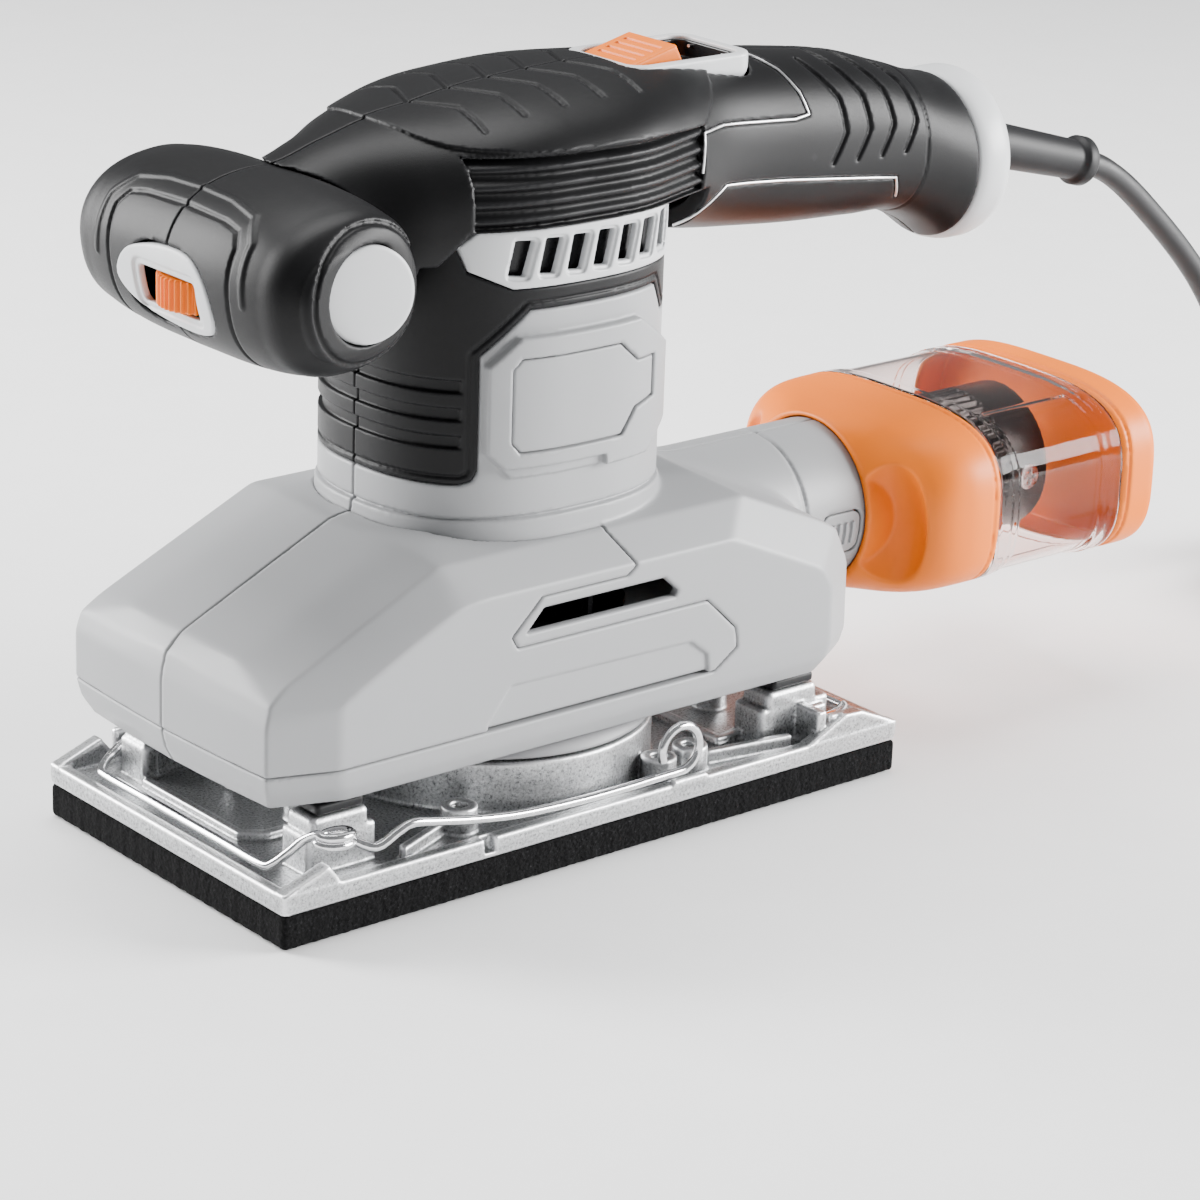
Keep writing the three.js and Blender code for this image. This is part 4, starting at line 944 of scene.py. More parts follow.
def make_housing():
    halves("housing", housing_shape, (-94, -46, 27), (106, 46, 136), 0.62, screw_bores(housing_shape))
    halves("front_cover", cover_shape, (-94, -46, 35), (44, 46, 82), 0.62, screw_bores(cover_shape))
    halves("column_trim", column_trim_shape, (-41, -36, 89), (39, 36, 152), 0.45)
    halves("vent_grille", grille_shape, (-42, -36.5, 135), (40, 36.5, 151), 0.38)
    # painted shade: a dark sheet behind the vent windows in place of the shade inside the column
    shade_sheet = grow_mesh("vent_shade_sheet", vent_shade_sheet_shape, (-41, -34, 134), (39, 34, 151), 0.7)
    add_on(shade_sheet, BODY_OF["housing_left"], "inner_plastic")
    halves("badge_plate", badge_shape, (-22, -38, 97), (22, 38, 122), 0.4)
    halves("latch_button", latch_shape, (88, -23, 46), (104, 23, 61), 0.25)


# ---------------------------------------------------------------- top shell and handle
# Stations along X: x, middle z, half width, half height, squareness.
SHELL_Z, SHELL_A, SHELL_B, SHELL_POWER = by_station([
    (-70, 144.2, 17.6, 19, 2.3), (-60, 145.2, 18.2, 19.6, 2.3), (-50, 147.6, 20, 20.3, 2.4),
    (-38, 150.9, 27, 20.2, 2.5), (-22, 155.2, 34, 18.3, 2.7), (-4, 157.6, 36.5, 18.3, 2.8),
    (16, 158, 36, 19.1, 2.8), (34, 157.5, 30, 19.6, 2.6), (50, 155.8, 23.8, 20.9, 2.4),
    (62, 154.6, 21.5, 21.3, 2.3), (84, 152.5, 20.3, 21.2, 2.3), (104, 150.6, 20, 20.2, 2.3),
    (118, 148.2, 20, 18.6, 2.2), (128, 144.6, 20.4, 19, 2.1), (136, 141, 21, 21, 2),
])
HOOD_EDGE = profile([
    (-50, 180), (-41, 174), (-35, 169.5), (-22, 167.4), (20, 166.6), (38, 165.6), (46, 170), (56, 181),
])
SHELL_REGION = [
    (-72, 124), (-44, 127), (-41, 133), (-40.2, 142.4), (-36.6, 142.4), (-30.7, 150), (42, 150), (42, 110),
    (200, 110), (200, 220), (-72, 220),
]
SWITCH_BOX = (28.5, 66.5, -13.5, 13.5)
HANDLE_UPPER_LINE = [
    (62, 179.6), (69, 176), (74.6, 171.6), (77.5, 166.7), (78.8, 161.7), (74, 161.2), (62, 162.2), (48, 163.7),
    (38.9, 163.7), (37.9, 154.6),
]
HANDLE_LOWER_LINE = [(37.7, 140.3), (43.3, 144.6), (50.2, 149), (74.3, 146.5), (109, 142.4), (112.2, 136.8)]


def shell_skin(q):
    x, y, z = q
    crown = oval(y, z - SHELL_Z(x), SHELL_A(x), SHELL_B(x), SHELL_POWER(x))
    column = meet(column_oval(q), z - 160, 3)
    return join(crown, column, 4)


def skin_point(x, z):
    """Point of the shell's right surface at that side-view place."""
    def at(y, height):
        return float(shell_skin(tuple(np.array([c], np.float32) for c in (x, y, height)))[0])

    while at(0, z) > -0.4:
        z -= 0.3
    low, high = 0.0, 45.0
    for _ in range(24):
        middle = (low + high) / 2
        low, high = (middle, high) if at(middle, z) < 0 else (low, middle)
    return Vector((x, low - 0.1, z))


def make_silver_lines():
    for name, line in (("upper", HANDLE_UPPER_LINE), ("lower", HANDLE_LOWER_LINE)):
        fine = []
        for (ax, az), (bx, bz) in zip(line, line[1:]):
            fine += [skin_point(ax + (bx - ax) * i / 4, az + (bz - az) * i / 4) for i in range(4)]
        fine.append(skin_point(*line[-1]))
        for side_name, side in SIDES:
            points = [Vector((p.x, side * p.y, p.z)) for p in fine]
            line = wire(f"silver_{name}_{side_name}", points, 0.72)
            add_on(line, BODY_OF["top_shell_left"], "chrome_wire", SILVER_LINE)


def top_shell_shape(p):
    q = folded(p)
    x, y, z = q
    base = shell_skin(q)
    skin = sink(base, meet(meet(between(x, -30, 39), between(z, 150.6, 166)), 20 - y, 1),
                1.5 + 0.8 * np.cos((z - 150.6) * 2 * math.pi / 3.8), 0.5)
    skin = lift(skin, meet(HOOD_EDGE(x) - z, x - 57), 0.7, 0.4)
    for i in range(5):
        line = [(-26 + 11 * i, 0), (-21 + 11 * i, 12), (-22.5 + 11 * i, 24)]
        skin = sink(skin, meet(strand(line, x, y) - 0.55, 160 - z), 0.6, 0.4)
    for i in range(4):
        line = [(84 + 8 * i, 172), (90 + 8 * i, 164), (91 + 8 * i, 156), (87 + 8 * i, 149)]
        skin = sink(skin, strand(line, x, z) - 0.6, 0.7, 0.5)
    for line in (HANDLE_UPPER_LINE, HANDLE_LOWER_LINE):
        skin = sink(skin, strand(line, x, z) - 0.5, 0.5, 0.25)
    skin = sink(skin, between(x, 118.2, 118.9), 0.35, 0.3)
    shell = cut(skin, meet(base + WALL + 2.2, x - 134), 0.4)
    shell = meet(shell, outline(SHELL_REGION, x, z) + SEAM, 0.5)
    shell = meet(shell, x - 135.8, 0.6)
    shell = cut(shell, grip_skin(p) - 0.35, 0.5)
    hole = block(q, 28.2, 66.8, -13.8, 13.8, 160, 200, 5)
    shell = cut(shell, meet(hole, 168 - z), 0.3)
    return cut(shell, meet(meet(column_oval(q) + 2, z - 150.3), 36 - x), 0.3)


# ---------------------------------------------------------------- front grip
GRIP_X, GRIP_Z, GRIP_HALF, GRIP_TILT = -69.5, 143.8, 42, 0.17
# Stations outward along the grip bar: distance from the centre plane, half length, half height.
GRIP_A, GRIP_B = by_station([
    (0, 21.5, 20), (20, 21.2, 19.6), (32, 20.2, 18.2), (38, 18.8, 16.6), (41.5, 15.5, 13.6),
])
BEZEL_OUTLINE = [
    (20, 139), (16, 145.4), (8.5, 148.2), (-1, 149.4), (-9, 148.6), (-14.4, 144.6), (-16.4, 139),
    (-16, 134.6), (-12.6, 131.8), (-5.5, 130.6), (6, 131.6), (15, 134.2),
]
BEZEL_LOOP = rounded_loop(BEZEL_OUTLINE)
DIAL_CENTRE = (-81.2, -0.8)
DIAL_R = 10.6
DISC_R = 11
DISC_LEAN = 0.17


def grip_frame(p):
    """Section coordinates of the grip bar: forward and up from its axis, and distance from the centre plane."""
    c, s = math.cos(GRIP_TILT), math.sin(GRIP_TILT)
    dx, dz = p[0] - GRIP_X, p[2] - GRIP_Z
    return c * dx + s * dz, c * dz - s * dx, np.abs(p[1])


def grip_skin(p):
    u, v, y = grip_frame(p)
    side = oval(u, v, GRIP_A(y), GRIP_B(y), 2.3)
    end = y - DISC_LEAN * -u - 41.6
    return meet(side, end, 3.5)


def grip_shape(p):
    u, v, y = grip_frame(p)
    base = grip_skin(p)
    around = np.arctan2(v, -u) * 20
    panel = strand([(23, -22), (23, 13), (20.5, 16.5), (15, 17.5), (0, 18)], y, around)
    skin = sink(base, meet(panel - 0.5, u - 4), 0.5, 0.35)
    outer = strand([(28, 2), (27, 15), (22, 21), (12, 23), (0, 23.5)], y, around)
    skin = lift(skin, meet(outer - 0.7, u - 4), 0.4, 0.5)
    disc_out = disc_distance(p)
    skin = sink(skin, np.abs(disc_out[0] - DISC_R - 4.2) - 0.5 + np.maximum(0, 25 - y), 0.5, 0.3)
    shell = cut(skin, base + WALL + 0.6, 0.3)
    shell = cut(shell, meet(outline(BEZEL_LOOP, p[1], p[2]) - 0.15, p[0] + 80), 0.25)
    shell = cut(shell, meet(disc_out[0] - DISC_R - 0.15, -2.8 - disc_out[1]), 0.25)
    return cut(shell, meet(rod_x(p, 0, 145, 13), -60 - p[0]), 0.4)


def disc_axis():
    out = Vector((-DISC_LEAN, 1, 0)).normalized()
    centre = Vector((GRIP_X + 3, GRIP_HALF - 0.7, GRIP_Z + 0.4))
    return centre, out


def disc_distance(p):
    """Distance from the end disc's axis, and distance out along it."""
    centre, out = disc_axis()
    dx, dy, dz = p[0] - centre.x, np.abs(p[1]) - centre.y, p[2] - centre.z
    along = dx * out.x + dy * out.y
    return np.sqrt(np.maximum(dx * dx + dy * dy + dz * dz - along * along, 1e-6)), along


def bezel_shape(p):
    base = grip_skin(p)
    face = meet(meet(outline(BEZEL_LOOP, p[1], p[2]), base - 0.3, 0.7), -(base + 2.6))
    window = block(p, -110, -80, -10.6, 11, 134.6, 143.2, 1.2)
    lip = block(p, -110, -80, -12.2, 12.6, 133, 144.8, 2.4)
    face = sink(face, lip, 0.6, 0.5)
    return meet(cut(face, window, 0.4), p[0] + 84)


def dial_shape(p):
    dx, dy = p[0] - DIAL_CENTRE[0], p[1] - DIAL_CENTRE[1]
    angle = np.arctan2(dy, dx)
    radius = DIAL_R - 0.45 + 0.42 * np.cos(40 * angle)
    wheel = meet(length2(dx, dy) - radius, between(p[2], 135.3, 142.5), 0.5)
    return cut(wheel, length2(dx, dy) - 2.3, 0.2)


def lathe_both_sides(name, profile_points, node):
    centre, out = disc_axis()
    for side_name, side in SIDES:
        piece = lathe(f"{name}_{side_name}", profile_points, (centre.x, side * centre.y, centre.z),
                      (out.x, side * out.y, 0))
        adopt(piece, f"{node}_{side_name}")


def make_top():
    halves("top_shell", top_shell_shape, (-72, -39, 112), (137, 39, 181), 0.62)
    halves("front_grip", grip_shape, (-93, -44, 121), (-45, 44, 167), 0.5)
    grow_node("dial_bezel", bezel_shape, (-93, -18, 129), (-83, 22, 151), 0.3)
    grow_node("speed_dial", dial_shape, (-93, -13, 134), (-69, 11, 144), 0.26)
    rim = DISC_R - 0.1
    lathe_both_sides("side_disc", [
        (0, -2.6), (rim, -2.6), (rim, -0.4), (rim - 0.12, -0.1), (rim - 0.4, 0.08), (rim - 1.1, 0.16),
        (rim - 6, 0.35), (0, 0.45),
    ], "side_disc")


# ---------------------------------------------------------------- switch, collar and boot
def switch_rim_shape(p):
    frame_box = block(p, *SWITCH_BOX, 169, 190, 5)
    body = meet(meet(frame_box, p[2] - 177.2, 1.0), 169.2 - p[2], 0.3)
    body = cut(body, meet(block(p, 31, 64, -11.2, 11.2, 160, 195, 4), 171.6 - p[2]), 0.6)
    return cut(body, block(p, 34, 56, -3.4, 3.4, 160, 180, 0.5), 0.2)


def switch_button_shape(p):
    side = [(32, 172.4), (48, 172.4), (48, 175.5), (45.5, 180.2), (32, 176.8)]
    body = meet(outline(side, p[0], p[2]) + 0.4, between(p[1], -8.6, 8.6), 0.8) - 0.35
    for i in range(4):
        x = 34.2 + 2.6 * i
        body = cut(body, block(p, x, x + 1, -6.5, 6.5, 176.6 + 0.25 * (x - 32) - 0.2, 190, 0.2), 0.4)
    stem = block(p, 36, 42, -2.6, 2.6, 166.2, 173, 0.4)
    return join(body, stem, 0.4)


def switch_tray_shape(p):
    """Dark sliding tray that lines the rim's recess."""
    outer = meet(block(p, 31.15, 63.85, -11.05, 11.05, 160, 195, 3.9), between(p[2], 171.75, 176.4), 0.3)
    inner = meet(block(p, 32.1, 62.9, -10.1, 10.1, 160, 195, 3.1), 172.3 - p[2], 0.5)
    tray = cut(outer, inner, 0.2)
    tray = cut(tray, meet(between(p[0], 54.6, 55.3), between(p[2], 172, 190)), 0.2)
    tray = cut(tray, block(p, 34, 57, -3.4, 3.4, 160, 180, 0.5), 0.2)
    return cut(tray, block(p, 31.8, 49.6, -9.6, 9.6, 160, 190, 0.5), 0.2)


def make_switch():
    tray = grow_mesh("switch_tray", switch_tray_shape, (30, -12, 171), (65, 12, 178), 0.32)
    add_on(tray, BODY_OF["switch_bezel"], "inner_plastic")
    adopt(grow_mesh("switch_rim", switch_rim_shape, (27, -15, 167), (68, 15, 179), 0.34), "switch_bezel")
    grow_node("switch_button", switch_button_shape, (30, -10.5, 165), (50, 10.5, 182), 0.26)


COLLAR_X, COLLAR_Z, COLLAR_R = 136, 141, 21.3


def make_collar():
    r = COLLAR_R
    collar = lathe("rear_collar", [
        (6.4, 1), (16.3, 1), (16.3, 0.2), (r - 0.6, 0.2), (r - 0.1, 0.6), (r + 0.4, 2.6), (r + 0.6, 4),
        (r + 0.6, 7.4), (r + 0.2, 9.2), (r - 0.5, 10.5), (r - 1.8, 11.4), (r - 3.6, 11.9), (13.2, 12),
        (12.8, 11.5), (12.3, 11.5), (11.9, 12), (7.4, 11.9), (6.6, 11.3), (6.4, 1),
    ], (COLLAR_X, 0, COLLAR_Z), (1, 0, 0), 96)
    adopt(collar, "rear_collar")


def make_boot():
    start, end = Vector(BOOT_START), Vector(BOOT_END)
    long = (end - start).length
    points = [
        (0, -6), (5.95, -6), (5.95, 0.6), (5.9, 3), (5.75, long * 0.35), (5.4, long * 0.7), (5.2, long - 6),
        (5.25, long - 4.4), (6.2, long - 4), (6.5, long - 3.4), (6.5, long - 0.9), (6.1, long - 0.2),
        (3.6, long), (3.4, long - 0.8), (0, long - 0.8),
    ]
    return adopt(lathe("cord_boot", points, start, end - start, 48), "cord_boot")


def plug_shape(p):
    along = EXIT_WAY
    start = EXIT_POINT + along * PLUG_AT
    dx, dy = p[0] - start.x, p[1] - start.y
    u, v, w = dx * along.x + dy * along.y, dy * along.x - dx * along.y, p[2] - PLUG_Z
    half_width = PLUG_WIDTH(u)
    body = oval(v, w, half_width, PLUG_HEIGHT(u), 2.8)
    for i in range(3):
        body = sink(body, between(u, 11.5 + 3.2 * i, 12.9 + 3.2 * i), 0.7, 0.4)
    body = meet(body, between(u, 0.3, 34), 1.2)
    pins = join(length2(v - 8.8, w), length2(v + 8.8, w)) - 2
    return join(body, meet(pins, between(u, 30, 51.8), 0.8), 0.3)


PLUG_WIDTH = profile([(0, 4), (5, 4.6), (9, 8), (16, 9.6), (28, 10.8), (34, 11.1)])
PLUG_HEIGHT = profile([(0, 4), (5, 4.4), (9, 6.8), (16, 7.3), (28, 7.5), (34, 7.5)])


def make_leads():
    cord = make_cord()
    boot = make_boot()
    low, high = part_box("plug")
    plug_low = [c / MM - 1 for c in low]
    plug_high = [c / MM + 1 for c in high]
    plug = grow_node("plug", plug_shape, plug_low, plug_high, 0.4)
    low, high = (np.array(c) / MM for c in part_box("cord_tie"))
    middle = (low + high) / 2
    floor_gap = 0 if low[2] < 0.2 else 1

    def strap(p):
        outer = block(p, low[0], high[0], middle[1] - 3, middle[1] + 3, low[2], high[2], 1.2)
        inner = block(p, low[0] + 1.2, high[0] - 1.2, -200, 200, low[2] + floor_gap, high[2] - 1.2, 1)
        return cut(outer, inner, 0.3)

    tie = grow_node("cord_tie", strap, low - 1, high + 1, 0.4)


# ---------------------------------------------------------------- pad: base plate, foam, clamps, legs
PAD_LENGTH, PAD_WIDTH = 185, 96
PLATE_BOTTOM, PLATE_TOP, RAIL_TOP = 8.7, 11.4, 13.3
SEAT_TOP = 24.8
BLOCK_TOP = 20.8
LEG_X = {"front": -70, "rear": 66}
LEG_Y = 33


def turned_half(p):
    """Point coordinates with the rear half turned onto the front half."""
    rear = p[0] > 0
    return np.where(rear, -p[0], p[0]), np.where(rear, -p[1], p[1]), p[2]


def base_plate_shape(p):
    x, y, z = p
    q = folded(p)
    half_l, half_w = PAD_LENGTH / 2 - 0.2, PAD_WIDTH / 2 - 0.2
    plan = block((x, y, z), -half_l, half_l, -half_w, half_w, -60, 90, 1.5)
    slab = meet(plan, between(z, PLATE_BOTTOM, PLATE_TOP), 0.4)
    inner = block((x, y, z), -half_l + 3, half_l - 3, -half_w + 3.4, half_w - 3.4, -60, 90, 3)
    rim = meet(cut(plan, inner, 0.5), between(z, PLATE_BOTTOM, RAIL_TOP), 0.5)
    rim = sink(rim, meet(between(z, 10.6, 11.2), -inner), 0.5, 0.3)
    radius = length2(x, y)
    boss = meet(between(radius, 36.5, 40.5), between(z, PLATE_TOP - 1, 24), 0.8)
    hub = meet(radius - 19.5, between(z, PLATE_TOP - 1, 29.4), 0.8)
    plate = join(join(slab, rim, 0.5), join(boss, hub), 1.0)
    angle = np.mod(np.arctan2(y, x) - math.pi / 6, math.pi / 3) - math.pi / 6
    ribs = meet(np.abs(np.sin(angle + math.pi / 6)) * radius - 1.3, between(radius, 17, 38))
    ribs = meet(ribs, between(z, 10, 20), 0.6)
    plate = join(plate, ribs, 0.8)
    plate = join(plate, gussets(q), 0.6)
    plate = join(plate, seats(q), 0.9)
    t = turned_half(p)
    plate = join(plate, end_works(t), 0.7)
    bore = meet(radius - 15.6, PLATE_TOP + 0.4 - z)
    notch = block(t, -36.6, -33.4, -60, -half_w + 2.6, 9.8, 20, 0.3)
    return cut(cut(plate, bore, 0.5), notch, 0.3)


def gussets(q):
    x, y, z = q
    front = outline([(-92.2, 10), (-92.2, RAIL_TOP), (-80, 17.8), (-77, 14), (-77, 10)], x, z)
    rear = outline([(63.4, 10), (63.4, RAIL_TOP), (75, 18.8), (80.5, 18.5), (92.2, RAIL_TOP), (92.2, 10)], x, z)
    return meet(join(front, rear), between(y, 44, 47.7), 0.6)


def seats(q):
    front_block = block(q, -79, -60, 27.5, 38, 10, BLOCK_TOP, 1.2)
    front = join(front_block, block(q, -78, -62, 28, 38, 10, SEAT_TOP, 1.6), 0.6)
    rear_block = block(q, 56, 78, 27.5, 38, 10, BLOCK_TOP, 1.2)
    rear = join(rear_block, block(q, 58, 74, 28, 38, 10, SEAT_TOP, 1.6), 0.6)
    front = sink(front, block(q, -75, -65, 0, 29.5, 13, 18.5, 0.6), 1.0, 0.4)
    return join(front, rear)


def end_works(t):
    """Island, clamp lugs, hook tab, long ribs and screw bosses of the front end; the rear has them turned."""
    x, y, z = t
    island_outline = [(-80, 27), (-74, 31), (-48, 31), (-48, -16), (-74, -16), (-80, -12)]
    island_plan = outline(island_outline, x, y)
    works = meet(island_plan, between(z, 10, 13.2), 0.5)
    works = sink(works, island_plan + 2.4, 0.5, 0.4)
    for y0, y1 in ((37.4, 39.4), (44.4, 46.4)):
        works = join(works, block(t, -76, -71, y0, y1, 10, 19, 0.6))
    works = join(works, block(t, -69.8, -67, 34, 46.4, 10, 20.5, 0.6), 0.5)
    works = join(works, block(t, -30.4, -20, 46, 47.8, 12, 14.2, 0.4), 0.4)
    rib = outline([(-56, -43.4), (-38, -36), (-38, -33.5), (-56, -41)], x, y)
    works = join(works, meet(rib, between(z, 10, 14.6), 0.5), 0.5)
    rear_rib = outline([(-38, 37), (-62, 40.6), (-62, 42.6), (-38, 39)], x, y)
    works = join(works, meet(rear_rib, between(z, 10, 14.8), 0.5), 0.5)
    for bx, by in ((-35, -36), (-33, 38), (-22, 39.5), (-62, -12), (-62, 12)):
        pillar = meet(rod_z(t, bx, by, 4.3), between(z, 10, 17.8), 0.6)
        works = join(works, cut(pillar, meet(rod_z(t, bx, by, 2), 16.4 - z), 0.4), 0.8)
    return works


def foam_shape(p):
    """Felt block with slightly uneven sides below its glued top edge."""
    ripple = 0.12 * np.sin(p[0] * 0.9) * np.sin(p[1] * 1.1 + 1) + 0.1 * np.sin(p[0] * 2.3 + p[1] * 1.7)
    return block(p, -92.25, 92.25, -47.75, 47.75, 0.02, 8.38, 1.2) + np.where(p[2] < 8, 0.12 + ripple * 0.6, 0)


CLAMP_AXIS = (-86.9, 14.2)
WIRE_D = 2.2
LEVER_Y = -46.5


def clamp_path():
    ax, az = CLAMP_AXIS
    start = [
        (-72.5, 42.5, 17), (-77, 40.9, 16.4), (-82, 38.2, 15.4), (ax + 0.8, 34.8, az + 0.3), (ax, 31.5, az),
        (ax, 16, az), (ax, 0, az), (ax, -16, az), (ax, -31, az), (ax + 0.8, -34.2, az + 0.8),
        (ax + 3.4, -37.2, az + 4.2), (ax + 5.6, -39.4, az + 7.2),
    ]
    spring = []
    for i in range(19):
        angle = math.pi * 0.95 + i / 18 * 1.5 * 2 * math.pi
        spring.append((-75.6 + 4.4 * math.cos(angle), -43.2 + 3.2 * math.sin(angle), 23.6 - 3 * i / 18))
    lever = [(x, LEVER_Y, z) for x, z in (
        (-66.5, 18.6), (-60.6, 20.8), (-56.4, 22), (-50, 20.8), (-38, 18.4), (-25, 16.6), (-8, 15.7),
        (6, 15.6), (15, 15.8),
    )]
    ring = []
    for i in range(15):
        angle = -math.pi * 0.5 + i / 14 * 1.62 * math.pi
        ring.append((22.6 + 5.7 * math.cos(angle), LEVER_Y, 21.6 + 5.7 * math.sin(angle)))
    return start + spring + lever + ring


def make_clamps():
    for name, turn in (("front_clamp", 1), ("rear_clamp", -1)):
        points = [(turn * x, turn * y, z) for x, y, z in clamp_path()]
        adopt(wire(f"{name}_wire", smooth_route(points, 4), WIRE_D), name)


def leg_shape(x, y):
    def shape(p):
        middle = SEAT_TOP + 0.3
        foot = block(p, x - 6.5, x + 6.5, y - 5, y + 5, middle, SEAT_TOP + 3, 1)
        neck = block(p, x - 4, x + 4, y - 3.2, y + 3.2, SEAT_TOP + 1, 33.4, 1)
        head = block(p, x - 4.8, x + 4.8, y - 3.8, y + 3.8, 32.2, 34.05, 0.9)
        return join(join(foot, neck, 1.6), head, 1.6)
    return shape


def make_pad():
    grow_node("base_plate", base_plate_shape, (-94, -49.5, 7.5), (94, 49.5, 31), 0.55)
    foam = grow_node("foam_pad", foam_shape, (-94, -49.5, -1), (94, 49.5, 10), 0.8)
    make_clamps()
    for end, x in LEG_X.items():
        for side_name, side in SIDES:
            y = side * LEG_Y
            low, high = (x - 8, y - 6.5, 24), (x + 8, y + 6.5, 36)
            grow_node(f"leg_{end}_{side_name}", leg_shape(x, y), low, high, 0.4)
    cover = lathe("bearing_cover", [
        (21, 25.4), (21.2, 29), (21.6, 29.2), (26, 29), (26.3, 28.6), (27, 28.6), (27.3, 28.95), (33, 28.7),
        (38, 27.5), (40.2, 25.6), (40.3, 24.9), (39.6, 24.7), (21, 25.4),
    ], (0, 0, 0), (0, 0, 1), 96)
    adopt(cover, "bearing_cover")


# ---------------------------------------------------------------- dust box
BOX_Z, BOX_A, BOX_B, BOX_POWER = 56.8, 40, 23.3, 3.3
BOX_FRONT_SEAM, BOX_REAR_SEAM, BOX_END = 132, 176, 189.5
SCREW_X, SCREW_FACE_Y = 163, -19.4
# Stations along X as for the top shell.
ADAPTER_Z, ADAPTER_A, ADAPTER_B, ADAPTER_POWER = by_station([
    (103, 55.9, 23.2, 22.4, 2), (109, 55.9, 31, 22.8, 2.4), (114, 56, 36.6, 23, 2.9),
    (122, 56.6, 39.6, 23.1, 3.3), (132, 56.8, 40, 23.3, 3.3),
])


def adapter_shape(p):
    q = folded(p)
    x, y, z = q
    skin = oval(y, z - ADAPTER_Z(x), ADAPTER_A(x), ADAPTER_B(x), ADAPTER_POWER(x))
    base = skin
    dish = (np.sqrt(((x - 103) / 11) ** 2 + ((y - 28.5) / 10) ** 2 + ((z - 54) / 21) ** 2) - 1) * 10
    dish = cut(dish, rod_x(q, 0, TUBE_Z, TUBE_R + 1.8), 0.6)
    skin = cut(skin, dish, 0.8)
    skin = sink(skin, between(x, 129.6, 130.3), 0.35, 0.25)
    hollow = cut(meet(base + WALL, between(x, 109.5, 150)), dish - WALL, 1)
    socket = meet(rod_x(q, 0, TUBE_Z, TUBE_R + 0.35), x - 106)
    shell = cut(meet(skin, between(x, 103, BOX_FRONT_SEAM - 0.15), 0.6), join(hollow, socket), 0.4)
    spigot = meet(rod_x(q, 0, TUBE_Z, 16.4), between(x, 92, 109), 0.4)
    return cut(join(shell, spigot), rod_x(q, 0, TUBE_Z, 14.4), 0.4)


def box_skin(q, a=BOX_A, b=BOX_B):
    return oval(q[1], q[2] - BOX_Z, a, b, BOX_POWER)


def canister_shape(p):
    q = folded(p)
    x = q[0]
    skin = box_skin(q) + 0.35
    skin = lift(skin, x - 136.4, 0.35, 0.3)
    skin = lift(skin, 171.6 - x, 0.35, 0.3)
    skin = sink(skin, meet(between(x, 139, 169), 24 - q[1]), 0.5, 0.5)
    shell = cut(skin, box_skin(q) + 2.1)
    return meet(shell, between(x, BOX_FRONT_SEAM + 0.15, BOX_REAR_SEAM - 0.15), 0.4)


def end_cap_shape(p):
    q = folded(p)
    x = q[0]
    skin = box_skin(q)
    body = meet(skin, between(x, BOX_REAR_SEAM + 0.15, BOX_END), 4)
    body = meet(body, x - BOX_END + 0.02)
    body = sink(body, between(x, 178.4, 179.1), 0.4, 0.25)
    body = sink(body, meet(skin + 9, 186 - x), 0.9, 0.6)
    return cut(body, meet(skin + 2.4, x - 186), 0.5)


def filter_shape(p):
    q = folded(p)
    angle = np.arctan2(q[1], q[2] - TUBE_Z)
    pleats = 18.1 + 0.6 * np.cos(44 * angle)
    radius = length2(q[1], q[2] - TUBE_Z)
    ends = join(between(q[0], 110.4, 114), between(q[0], 156, 170))
    outer = np.where(ends < 0, 18.7, pleats)
    tube = cut(radius - outer, radius - 16.9)
    tube = meet(tube, between(q[0], 110.4, 170), 0.4)
    return cut(tube, rod_y(p, SCREW_X, TUBE_Z, 2.2) + np.maximum(0, p[1]), 0.2)


def screw_shape(p):
    """Pan head with a cross slot, facing the left side."""
    dx, dz = p[0] - SCREW_X, p[2] - TUBE_Z
    out = SCREW_FACE_Y - p[1]
    r = length2(dx, dz)
    head = meet(r - 3.4, between(out, -1.8, 0) + 0.015 * r * r, 0.5)
    shank = meet(r - 1.4, between(out, -5, -1))
    flat = np.maximum(np.abs(dx) - 0.42, np.abs(dz) - 2.1)
    upright = np.maximum(np.abs(dz) - 0.42, np.abs(dx) - 2.1)
    return cut(join(head, shank, 0.3), meet(join(flat, upright), -0.9 - out), 0.15)


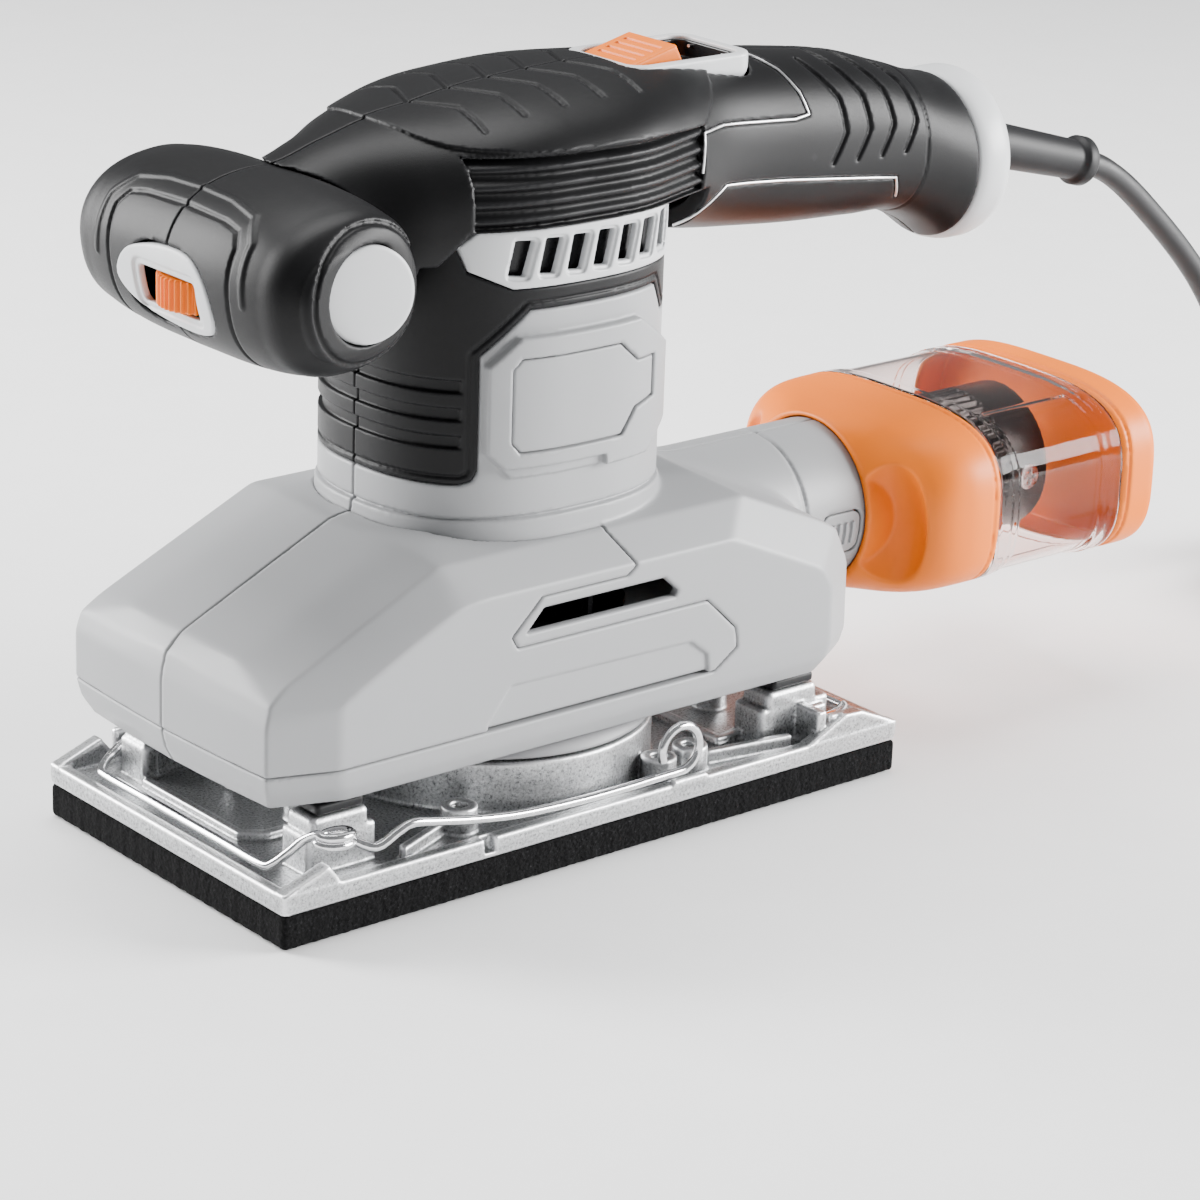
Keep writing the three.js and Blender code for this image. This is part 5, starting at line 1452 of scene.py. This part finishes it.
def make_dust_box():
    grow_node("dust_box_adapter", adapter_shape, (90, -42, 31), (134, 42, 82), 0.6)
    grow_node("dust_box_canister", canister_shape, (130, -42, 31), (178, 42, 82), 0.6)
    grow_node("dust_box_end_cap", end_cap_shape, (174, -42, 31), (191, 42, 82), 0.6)
    grow_node("filter_tube", filter_shape, (109, -20, 36), (171, 20, 76), 0.5)
    grow_node("filter_screw", screw_shape, (158, -21.5, 51), (168, -13, 61), 0.2)


# ---------------------------------------------------------------- floor and light
FLOOR_HALF = 4              # metres
FLOOR_DROP = -0.0002        # metres, so that the foam's underside doesn't lie in the floor's plane


def make_floor():
    corners = [(FLOOR_HALF * x, FLOOR_HALF * y, FLOOR_DROP) for x, y in ((-1, -1), (1, -1), (1, 1), (-1, 1))]
    floor = mesh_object("floor", corners, [(0, 1, 2, 3)])
    nodes = Nodes("floor_paper")
    grain = nodes.noise(40, 2)
    shade = nodes.ramp(grain, ((0.3, (0.93, 0.93, 0.93)), (0.7, (0.95, 0.95, 0.95))))
    nodes.set(Base_Color=shade, Roughness=0.8)
    floor.data.materials.append(nodes.material)


def soft_box(name, place, target, size, power):
    data = bpy.data.lights.new(name, "AREA")
    data.shape = "RECTANGLE"
    data.size, data.size_y = size
    data.energy = power
    lamp = new_object(name, data)
    lamp.location = place
    lamp.rotation_euler = (Vector(target) - Vector(place)).to_track_quat("-Z", "Y").to_euler()


def make_light():
    world = bpy.data.worlds.new("studio")
    world.use_nodes = True
    background = world.node_tree.nodes["Background"]
    background.inputs["Color"].default_value = (0.97, 0.985, 1, 1)
    background.inputs["Strength"].default_value = 0.28
    bpy.context.scene.world = world
    aim = (0.03, 0, 0.07)
    soft_box("left_box", (-0.7, 1.0, 0.5), aim, (0.5, 0.9), 40)
    soft_box("right_box", (1.05, -0.75, 0.45), aim, (0.8, 0.5), 52)
    soft_box("top_box", (0.05, 0.3, 1.25), aim, (1.0, 0.8), 20)


make_leads()
make_housing()
make_top()
make_silver_lines()
make_switch()
make_collar()
make_pad()
make_dust_box()
make_floor()
make_light()
